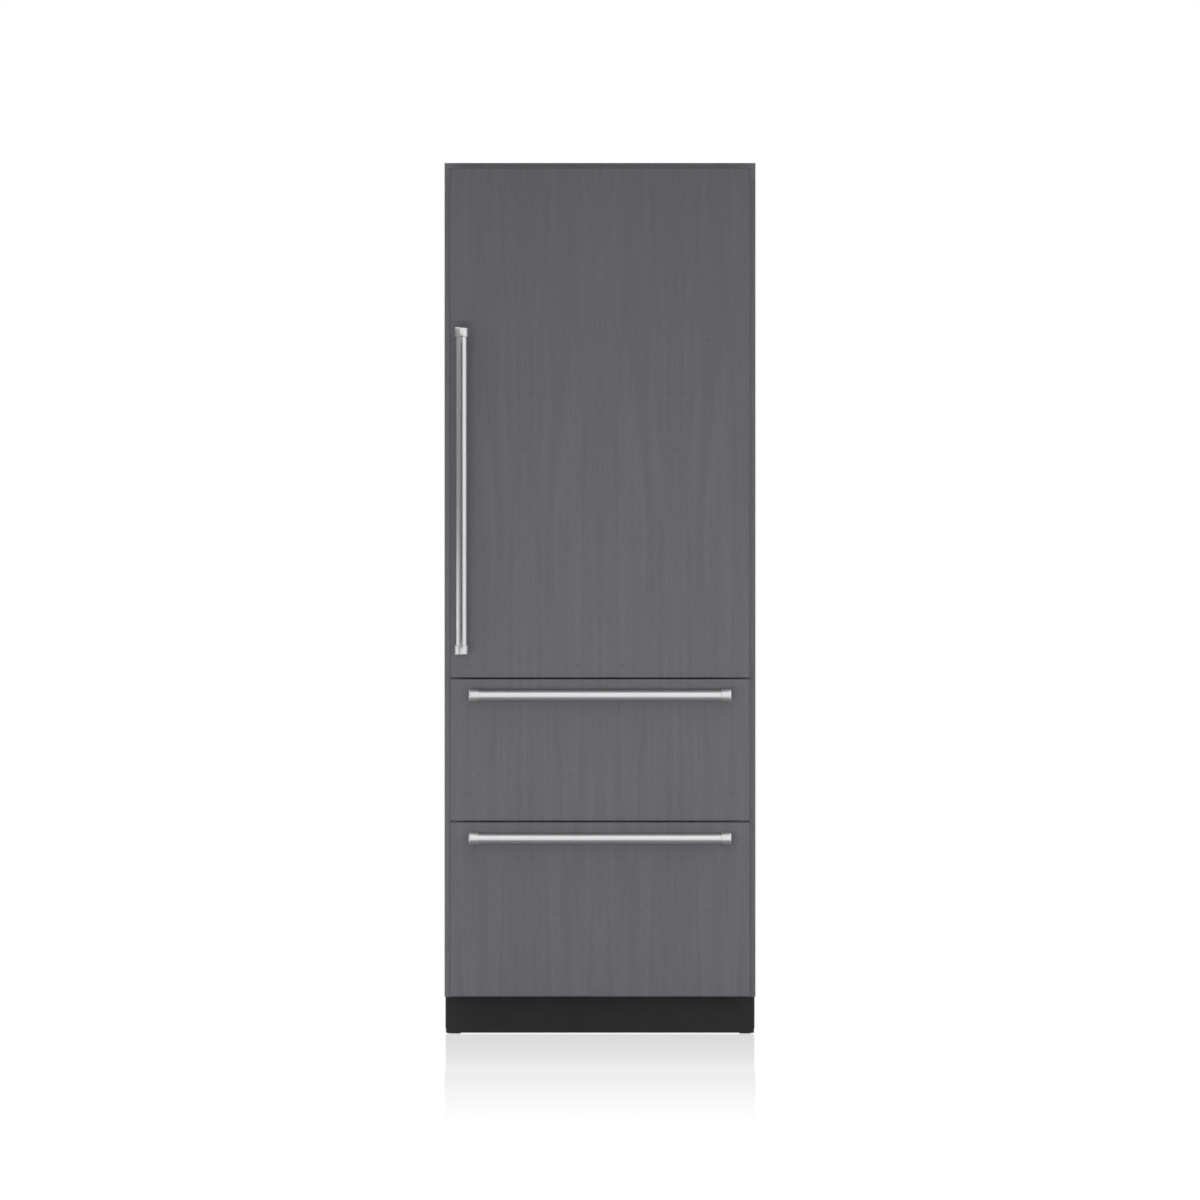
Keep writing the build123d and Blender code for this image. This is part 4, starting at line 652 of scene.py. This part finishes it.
class FREEZER_OT_case(Operator):
    """Finish the steel case, its kickplate and the foam inside, and screw on its back"""

    bl_idname = "freezer.case"
    bl_label = "Case"

    def execute(self, context):
        case = context.scene.freezer_case
        # coil coated steel: even grey paint with a faint pull along the strip and a soft gloss
        coated = grained_surface(
            "coil_coated_grey_steel", case.paint, 0.03, (0.8, 0.8, 12), (0.38, 0.43), 0.02,
            {"IOR": 1.5, "Coat Weight": 0.15, "Coat Roughness": 0.3})
        dress(coated, "case_shell", "front_bezel")
        dress(galvanised_sheet(), "back_panel", "machine_cover")
        # powder coated steel: near black with the fine pebbled skin that hides fingerprints
        powder = grained_surface(
            "powder_coated_black_steel", case.kickplate, 0.17, (1.2, 1.2, 1.2), (0.5, 0.62), 0.05,
            {"IOR": 1.5, "Specular IOR Level": 0.25})
        dress(powder, "kickplate")
        dress(foamed_polyurethane(), "case_foam", "partitions")
        # zinc plated screws: small bright hexagons on a turned washer
        plated = drawn_metal("zinc_plated_screw", "#B4B9BD", 0.1, "#94979A", (6, 6, 6),
                             (0.26, 0.36), 0.01, 0.5)
        # up both sides of the back, along its top, and up both sides of the machine cover
        places = [(side * 370.0, BACK_FACE, 320.0 + step * 222.0)
                  for side in SIDES for step in range(9)]
        places += [(step * 130.0, BACK_FACE, 2122.0) for step in range(-2, 3)]
        places += [(side * 366.0, BACK_FACE, 32.0 + step * 122.0)
                   for side in SIDES for step in range(3)]
        screws = repeated(self.hex_screw(), "back_screws", places)
        finish_piece(screws, plated, "case")
        return {"FINISHED"}

    def hex_screw(self):
        """A hex washer head screw at the origin, 2.4 mm high, that looks backwards."""
        washer = turned("screw", [(0.0, 0.0), (4.8, 0.0), (4.8, 0.4), (4.4, 0.8), (0.0, 0.8)],
                        axis="Y", steps=20)
        bpy.ops.object.select_all(action="DESELECT")
        bpy.ops.mesh.primitive_cylinder_add(vertices=6, radius=3.3 * MM, depth=1.6 * MM,
                                            location=(0.0, 1.6 * MM, 0.0), rotation=TURNS["Y"])
        head = name_new("screw_head")
        settle(head)
        press(head, faces_back, 1.0, (0.0, -0.5, 0.0))
        return joined("screw", [washer, head])


class FREEZER_OT_liner(Operator):
    """Finish the white liners, the door cores and the gaskets"""

    bl_idname = "freezer.liner"
    bl_label = "Liners and gaskets"

    def execute(self, context):
        case = context.scene.freezer_case
        # vacuum formed ABS: cool white, fairly glossy, with the sheet's slight ripple
        liner = grained_surface("vacuum_formed_white_abs", case.liner, 0.006, (3.5, 3.5, 3.5),
                                (0.29, 0.31), 0.015, {"IOR": 1.53})
        dress(liner, "freezer_liner", "drawer_liners", "door_liner", "evaporator_cover")
        # painted steel pans round the door's foam: light grey and satin
        pan = grained_surface("painted_steel_pan", case.core, 0.04, (1.0, 1.0, 1.0),
                              (0.34, 0.42), 0.02, {"IOR": 1.5})
        dress(pan, *(body + "_core" for body in FRONTS))
        # extruded soft PVC: dull grey, slightly waxy, lines along the extrusion too fine to see
        gasket = grained_surface("extruded_soft_pvc", case.gasket, 0.08, (2, 2, 2),
                                 (0.48, 0.6), 0.04, {"IOR": 1.52, "Sheen Weight": 0.1})
        dress(gasket, *(body + "_gasket" for body in FRONTS))
        return {"FINISHED"}


class FREEZER_OT_shelves(Operator):
    """Finish the glass shelves, their frames and tracks, and add an aluminium trim to each"""

    bl_idname = "freezer.shelves"
    bl_label = "Shelves"

    def execute(self, context):
        dress(tempered_glass(), "shelf_glass")
        # injection moulded ABS: white, a little warmer and duller than the liner
        moulded = grained_surface("moulded_white_abs", "#E1E3E3", 0.03, (1.4, 1.4, 1.4),
                                  (0.36, 0.46), 0.03, {"IOR": 1.53})
        dress(moulded, "shelf_frames")
        # powder coated steel strip: white, with the fine even pebble of the coat
        coat = grained_surface("white_powder_coated_strip", "#DDDFE0", 0.02, (1.0, 1.0, 1.0),
                               (0.36, 0.46), 0.03, {"IOR": 1.5})
        dress(coat, "shelf_tracks")
        for index, level in enumerate(SHELF_LEVELS, start=1):
            trim = new_block(f"shelf_trim_{index}", (-324.0, -79.0, level - 1.0),
                             (324.0, -73.0, level + 15.5))
            press(trim, faces_front, 2.2, (0.0, 0.8, 0.0))
            press(trim, lambda centre, normal: normal.z > 0.9 and centre.z > level + 15, 0.0,
                  (0.0, 0.6, 0.0))
            soften(trim, 0.6, 2)
            finish_piece(trim, anodised_aluminium(), "case")
        return {"FINISHED"}


class FREEZER_OT_console(Operator):
    """Finish the ceiling console and the ice maker, with their lens, touch pads and cover"""

    bl_idname = "freezer.console"
    bl_label = "Console and ice maker"

    def execute(self, context):
        # injection moulded ABS with a fine spark eroded skin: white and satin
        moulded = grained_surface("spark_eroded_white_abs", "#E4E6E7", 0.02, (0.9, 0.9, 0.9),
                                  (0.4, 0.5), 0.04, {"IOR": 1.53})
        dress(moulded, "ceiling_console")
        # frosted polycarbonate: milky white, with ribs across that spread the lamp's light
        frosted = grained_surface("frosted_polycarbonate", "#F0F2F3", 0.02, (5.0, 60, 60),
                                  (0.45, 0.6), 0.3, {"IOR": 1.58, "Subsurface Weight": 0.1})
        under = box_mm("ceiling_console")[0][2]
        lens = new_block("lamp_lens", (-149.0, -73.4, under + 0.4), (149.0, -60.6, under + 2.0))
        press(lens, faces_down, 1.5, (0.0, 0.0, -0.3))
        soften(lens, 0.3, 2)
        finish_piece(lens, frosted, "case")
        # smoked acrylic: black and glossy, with faint polishing clouds
        smoked = grained_surface("polished_smoked_acrylic", "#26282A", 0.1, (8, 8, 8),
                                 (0.08, 0.16), 0.005, {"IOR": 1.49})
        pad = turned("pad", [(0.0, 0.0), (7.0, 0.0), (7.0, 0.2), (6.6, 0.5), (5.6, 0.5),
                             (5.2, 0.3), (0.0, 0.2)], axis="down", steps=32)
        pads = repeated(pad, "touch_pads", [(step * 28.0, -111.0, under) for step in range(-2, 3)])
        finish_piece(pads, smoked, "case")
        # die cast aluminium: grey and matt with the sandy skin of the mould
        cast = grained_surface("die_cast_aluminium", "#999C9F", 0.1, (1.6, 1.6, 1.6),
                               (0.42, 0.55), 0.12, {"Metallic": 0.9})
        dress(cast, "ice_maker")
        low, high = box_mm("ice_maker")
        cover = new_block("ice_maker_cover", (low[0] + 1.0, low[1] - 3.0, low[2] + 1.0),
                          (low[0] + 99.0, low[1] + 0.5, high[2] - 1.0))
        press(cover, faces_front, 6.0, (0.0, 1.2, 0.0))
        soften(cover, 1.0, 3)
        finish_piece(cover, moulded, "case")
        return {"FINISHED"}


class FREEZER_OT_bins(Operator):
    """Finish the ice bin, the tray, the drawer boxes and the door bins, with a trim on each door
    bin
    """

    bl_idname = "freezer.bins"
    bl_label = "Bins and boxes"

    def execute(self, context):
        dress(clear_styrene(), "door_bin_1", "door_bin_2", "door_bin_3", "ice_bin", "sliding_tray")
        # injection moulded polypropylene: milky white, waxy, with a fine spark eroded grain
        box = grained_surface("moulded_white_polypropylene", "#E3E7EA", 0.03, (1.2, 1.2, 1.2),
                              (0.4, 0.5), 0.04, {"IOR": 1.49, "Subsurface Weight": 0.08})
        dress(box, "upper_drawer_box", "lower_drawer_box")
        for index in (1, 2, 3):
            low, high = box_mm(f"door_bin_{index}")
            top = low[2] + BIN_WALL
            trim = new_block(f"door_bin_trim_{index}", (low[0] + 1.5, high[1] - 4.6, top - 6.0),
                             (high[0] - 1.5, high[1] + 1.6, top + 1.4))
            press(trim, faces_back, 1.4, (0.0, -0.6, 0.0))
            soften(trim, 0.6, 2)
            finish_piece(trim, anodised_aluminium(), "door")
        return {"FINISHED"}


class FREEZER_OT_metalwork(Operator):
    """Finish the runners, the hinges and their bushes, and screw the hinges on"""

    bl_idname = "freezer.metalwork"
    bl_label = "Runners and hinges"

    def execute(self, context):
        # zinc plated roll formed steel: cool and bright, with the lines of the rolls along it
        runner = drawn_metal("zinc_plated_runner", "#B3B8BD", 0.14, "#8E9297", (60, 60, 1.5),
                             (0.25, 0.36), 0.02, 0.5)
        dress(runner, "outer_runners", "upper_inner_runners", "lower_inner_runners",
              "upper_middle_runners", "lower_middle_runners")
        # nickel plated plate steel: warm silver, polished by the press
        hinge = drawn_metal("nickel_plated_steel", "#B7B5B0", 0.12, "#9A9893", (20, 20, 20),
                            (0.26, 0.34), 0.02, 0.4)
        dress(hinge, "hinge_brackets")
        # turned acetal: dense black plastic, semi gloss
        bush = grained_surface("turned_black_acetal", "#1A1A1B", 0.2, (0.8, 0.8, 0.8),
                               (0.3, 0.42), 0.02, {"IOR": 1.48})
        dress(bush, "hinge_bushes")
        # button heads with a round socket, two through the leg of each bracket
        head = turned("screw", [(0.0, 0.1), (1.7, 0.1), (2.0, 1.1), (3.0, 1.2), (3.9, 0.9),
                                (4.4, 0.0)], axis="front", steps=24)
        low, high = box_mm("hinge_brackets")
        heights = (low[2] + 20.0, low[2] + 54.0, high[2] - 54.0, high[2] - 20.0)
        places = [(355.0, high[1] - HINGE_LEG, height) for height in heights]
        finish_piece(repeated(head, "hinge_screws", places), hinge, "case")
        return {"FINISHED"}


class FREEZER_OT_cooling(Operator):
    """Finish the evaporator, condenser, compressor, fans, lines and valves"""

    bl_idname = "freezer.cooling"
    bl_label = "Cooling parts"

    def execute(self, context):
        # mill finish aluminium: pale and slightly cloudy, with fine rolling lines
        mill = drawn_metal("mill_finish_aluminium", "#BCBFC1", 0.12, "#A3A6A8", (2, 40, 40),
                           (0.32, 0.45), 0.02, 0.6)
        dress(mill, "evaporator_coil")
        # glass filled PBT: grey black, matt and faintly fibrous
        fan = grained_surface("moulded_black_pbt", "#242527", 0.2, (1.0, 1.0, 4.0),
                              (0.42, 0.55), 0.04, {"IOR": 1.55})
        dress(fan, "evaporator_fan", "condenser_fan", "evaporator_fan_motor", "condenser_fan_frame")
        # dipped black enamel: thick, glossy, with an orange peel of 3 mm
        enamel = grained_surface("dipped_black_enamel", "#131415", 0.2, (3, 3, 3), (0.16, 0.26),
                                 0.08, {"IOR": 1.52, "Coat Weight": 0.4, "Coat Roughness": 0.1})
        dress(enamel, "compressor", "condenser_coil")
        # drawn copper: salmon metal gone brown in patches where it was handled
        copper = drawn_metal("drawn_copper_tube", "#B87654", 0.18, "#6F4732", (3, 3, 20),
                             (0.22, 0.38), 0.02, 0.8)
        dress(copper, "refrigerant_lines")
        # injection moulded polypropylene with black colour: dull, slightly waxy
        black = grained_surface("moulded_black_polypropylene", "#202122", 0.2, (1.4, 1.4, 1.4),
                                (0.42, 0.56), 0.06, {"IOR": 1.49})
        dress(black, "drip_tray", "power_inlet", "water_valve")
        return {"FINISHED"}


class FREEZER_OT_base(Operator):
    """Finish the base frame, the rollers, the feet and the ice maker's arm"""

    bl_idname = "freezer.base"
    bl_label = "Base"

    def execute(self, context):
        # zinc plated pressed steel: grey blue and dull, with barely worn patches
        pressed = drawn_metal("zinc_plated_pressed_steel", "#9FA3A6", 0.06, "#8F9396",
                              (25, 25, 2), (0.38, 0.46), 0.01, 0.3)
        dress(pressed, "base_frame")
        # moulded nylon: charcoal, semi matt, with scuffs round the tread
        nylon = grained_surface("moulded_black_nylon", "#222223", 0.25, (2.0, 2.0, 2.0),
                                (0.38, 0.58), 0.06, {"IOR": 1.53})
        dress(nylon, "left_roller", "right_roller")
        # zinc plated turned steel: bright, with the lines of the tool round it
        bright = drawn_metal("zinc_plated_turned_steel", "#B4B7BA", 0.12, "#94979A",
                             (25, 25, 1.2), (0.26, 0.38), 0.02, 0.5)
        dress(bright, "left_foot", "right_foot", "ice_maker_arm")
        return {"FINISHED"}


# name, place, point looked at, width and height in metres, spread in degrees, and whose level
LAMPS = (
    ("softbox_right", (3.9, -1.7, 1.3), (0.0, -0.3, 1.2), 3.4, 2.6, 180, "side_level"),
    ("softbox_top", (0.0, -1.6, 4.4), (0.0, -0.3, 0.8), 4.4, 1.6, 180, "top_level"),
    ("softbox_back", (-2.6, 3.6, 2.2), (0.0, 0.0, 1.1), 3.0, 2.6, 180, "back_level"),
    # the strip stands low in front, so each bar throws a thin shadow upwards on its front
    ("strip_low", (-0.6, -5.5, 0.30), (-0.1, -0.3, 0.45), 5.0, 0.4, 60, "low_level"),
)

# name, lowest and highest corner in metres, and tone of each card: they show only in
# reflections, and shape the dark and light bands along the bars
FLAGS = (
    ("flag_bar", (-0.362, -0.392, 0.95), (-0.314, -0.390, 1.71), "#858587"),
    ("flag_left", (-1.30, -2.60, 0.60), (-1.28, -1.13, 2.00), "#A0A0A1"),
    ("flag_side", (-1.31, -1.13, 1.15), (-1.29, 0.35, 2.00), "#D0D0D1"),
    ("flag_back", (-1.30, 0.35, 0.60), (-1.28, 2.50, 2.00), "#707072"),
    ("flag_top", (-0.6, -0.75, 2.30), (0.6, -0.30, 2.31), "#707072"),
)


class FREEZER_OT_studio(Operator):
    """Lay the floor, hang the cards, place the lamps, light the world and set the camera"""

    bl_idname = "freezer.studio"
    bl_label = "Studio"

    def execute(self, context):
        studio = context.scene.freezer_studio
        bpy.ops.object.select_all(action="DESELECT")
        bpy.ops.mesh.primitive_plane_add(size=FLOOR_SIZE, location=(0.0, 0.0, 0.0))
        floor = name_new("studio_floor")
        floor.data.materials.append(self.floor_finish(studio))
        for name, low, high, tone in FLAGS:
            self.hang_flag(name, low, high, tone)
        self.light_world(studio)
        for name, place, aim, width, height, spread, level in LAMPS:
            self.place_lamp(name, place, aim, width, height, spread, getattr(studio, level))
        # the camera looks level at the middle of the picture, through a lens long enough to
        # draw almost no perspective
        bpy.ops.object.camera_add(location=(0.0, FRONT_FACE - studio.distance, EYE_HEIGHT),
                                  rotation=(math.pi / 2, 0.0, 0.0))
        camera = bpy.context.active_object
        camera.name = "studio_camera"
        camera.data.sensor_width = SENSOR_MM
        camera.data.lens = SENSOR_MM * studio.distance / PICTURE_HEIGHT
        context.scene.camera = camera
        context.scene.view_settings.view_transform = "Standard"
        return {"FINISHED"}

    def place_lamp(self, name, place, aim, width, height, spread, level):
        """A softbox at a place that looks at a point; the level is its brightness, 1 is white."""
        bpy.ops.object.select_all(action="DESELECT")
        bpy.ops.object.light_add(type="AREA", location=place)
        light = bpy.context.active_object
        light.name = name
        light.data.shape = "RECTANGLE"
        light.data.size = width
        light.data.size_y = height
        light.data.spread = math.radians(spread)
        light.data.energy = level * math.pi * width * height
        # metal shows the white studio and the cards, not the lamps
        light.visible_glossy = False
        towards = [b - a for a, b in zip(place, aim)]
        flat = math.hypot(towards[0], towards[1])
        light.rotation_euler = (math.atan2(flat, -towards[2]), 0.0,
                                math.atan2(-towards[0], towards[1]))

    def floor_finish(self, studio):
        """Pale seamless floor: white where it is lit, with the object's shadow, and polished
        enough in front of the column to mirror its foot, less and less towards the camera."""
        material = bpy.data.materials.new("pale_polished_floor")
        material.use_nodes = True
        tree = material.node_tree
        tree.nodes.clear()
        path = add_node(tree, "LightPath")
        place = add_node(tree, "TexCoord")
        parts = add_node(tree, "SeparateXYZ", {}, {"Vector": place.outputs["Object"]})
        # nothing is mirrored 13 m in front of the column, and most just before its fronts
        near = add_node(tree, "MapRange", {"interpolation_type": "SMOOTHSTEP",
                                           1: -13.0, 2: -0.26, 3: 0.0, 4: studio.mirror},
                        {0: parts.outputs["Y"]})
        # the polish mirrors at a low glance only, and hardly from above
        glance = add_node(tree, "Fresnel", {"IOR": 1.3})
        share = add_node(tree, "Math", {"operation": "MULTIPLY"}, {0: near, 1: glance})
        grey = add_node(tree, "BsdfDiffuse", {"Color": (0.33, 0.33, 0.33, 1.0)})
        glow = add_node(tree, "Emission", {"Color": WHITE, "Strength": 0.87})
        shaded = add_node(tree, "AddShader", {}, {0: grey, 1: glow})
        mirror = add_node(tree, "BsdfGlossy", {"Color": WHITE, "Roughness": 0.04})
        polished = add_node(tree, "MixShader", {}, {0: share, 1: shaded, 2: mirror})
        pale = add_node(tree, "BsdfDiffuse", {"Color": (0.72, 0.72, 0.72, 1.0)})
        seen = add_node(tree, "Math", {"operation": "MAXIMUM"},
                        {0: path.outputs["Is Camera Ray"], 1: path.outputs["Is Transmission Ray"]})
        chosen = add_node(tree, "MixShader", {}, {0: seen, 1: pale, 2: polished})
        # metal shows a floor that is white from 4.5 m off, and grey round the column's foot as
        # painted shade of the column
        reach = add_node(tree, "VectorMath", {"operation": "LENGTH"}, {0: place.outputs["Object"]})
        painted_foot_shade_level = add_node(tree, "MapRange", {"interpolation_type": "SMOOTHSTEP",
                                              1: 0.4, 2: 4.5, 3: 0.2, 4: 1.0},
                           {0: reach.outputs["Value"]})
        glossy_floor_with_painted_foot_shade = add_node(tree, "Emission", {"Color": WHITE}, {"Strength": painted_foot_shade_level})
        mirrored = add_node(tree, "MixShader", {},
                            {0: path.outputs["Is Glossy Ray"], 1: chosen, 2: glossy_floor_with_painted_foot_shade})
        add_node(tree, "OutputMaterial", {}, {0: mirrored})
        return material

    def hang_flag(self, name, low, high, tone):
        """A felt card, seen only in reflections: matt, with the faint fuzz of the felt."""
        flag = new_block(name, [value / MM for value in low], [value / MM for value in high])
        felt = grained_surface(name + "_felt", tone, 0.05, (4, 4, 4), (0.85, 0.95), 0.2,
                               {"Sheen Weight": 0.1})
        flag.data.materials.append(felt)
        flag.visible_camera = False
        flag.visible_diffuse = False
        flag.visible_transmission = False
        flag.visible_shadow = False
        return flag

    def light_world(self, studio):
        """An even pale sky: white to the camera and in glass and metal, softer as light."""
        world = bpy.data.worlds.new("studio_sky")
        bpy.context.scene.world = world
        world.use_nodes = True
        tree = world.node_tree
        tree.nodes.clear()
        path = add_node(tree, "LightPath")
        seen = add_node(tree, "Math", {"operation": "MAXIMUM"},
                        {0: path.outputs["Is Camera Ray"], 1: path.outputs["Is Transmission Ray"]})
        either = add_node(tree, "Math", {"operation": "MAXIMUM"},
                          {0: seen, 1: path.outputs["Is Glossy Ray"]})
        strength = add_node(tree, "MapRange", {1: 0.0, 2: 1.0, 3: studio.sky, 4: 1.0}, {0: either})
        sky = add_node(tree, "Background", {"Color": WHITE}, {"Strength": strength})
        add_node(tree, "OutputWorld", {}, {0: sky})


GROUPS = {"freezer_wood": FreezerWood, "freezer_handles": FreezerHandles,
          "freezer_case": FreezerCase, "freezer_studio": FreezerStudio}
STEPS = (FREEZER_OT_fronts, FREEZER_OT_handles, FREEZER_OT_case, FREEZER_OT_liner,
         FREEZER_OT_shelves, FREEZER_OT_console, FREEZER_OT_bins, FREEZER_OT_metalwork,
         FREEZER_OT_cooling, FREEZER_OT_base, FREEZER_OT_studio)


class FREEZER_PT_panel(Panel):
    """Lists what dresses the freezer column"""

    bl_idname = "FREEZER_PT_panel"
    bl_label = "Freezer Column"
    bl_space_type = "VIEW_3D"
    bl_region_type = "UI"
    bl_category = "Freezer"

    def draw(self, context):
        for step in STEPS:
            self.layout.operator(step.bl_idname)
        for group, kind in GROUPS.items():
            box = self.layout.box()
            for name in kind.__annotations__:
                box.prop(getattr(context.scene, group), name)


CLASSES = (*GROUPS.values(), *STEPS, FREEZER_PT_panel)


def register():
    for cls in CLASSES:
        bpy.utils.register_class(cls)
    for name, group in GROUPS.items():
        setattr(bpy.types.Scene, name, PointerProperty(type=group))


def unregister():
    for name in GROUPS:
        delattr(bpy.types.Scene, name)
    for cls in reversed(CLASSES):
        bpy.utils.unregister_class(cls)


def main():
    register()
    for step in STEPS:
        group, name = step.bl_idname.split(".")
        getattr(getattr(bpy.ops, group), name)()


if __name__ == "__main__":
    main()
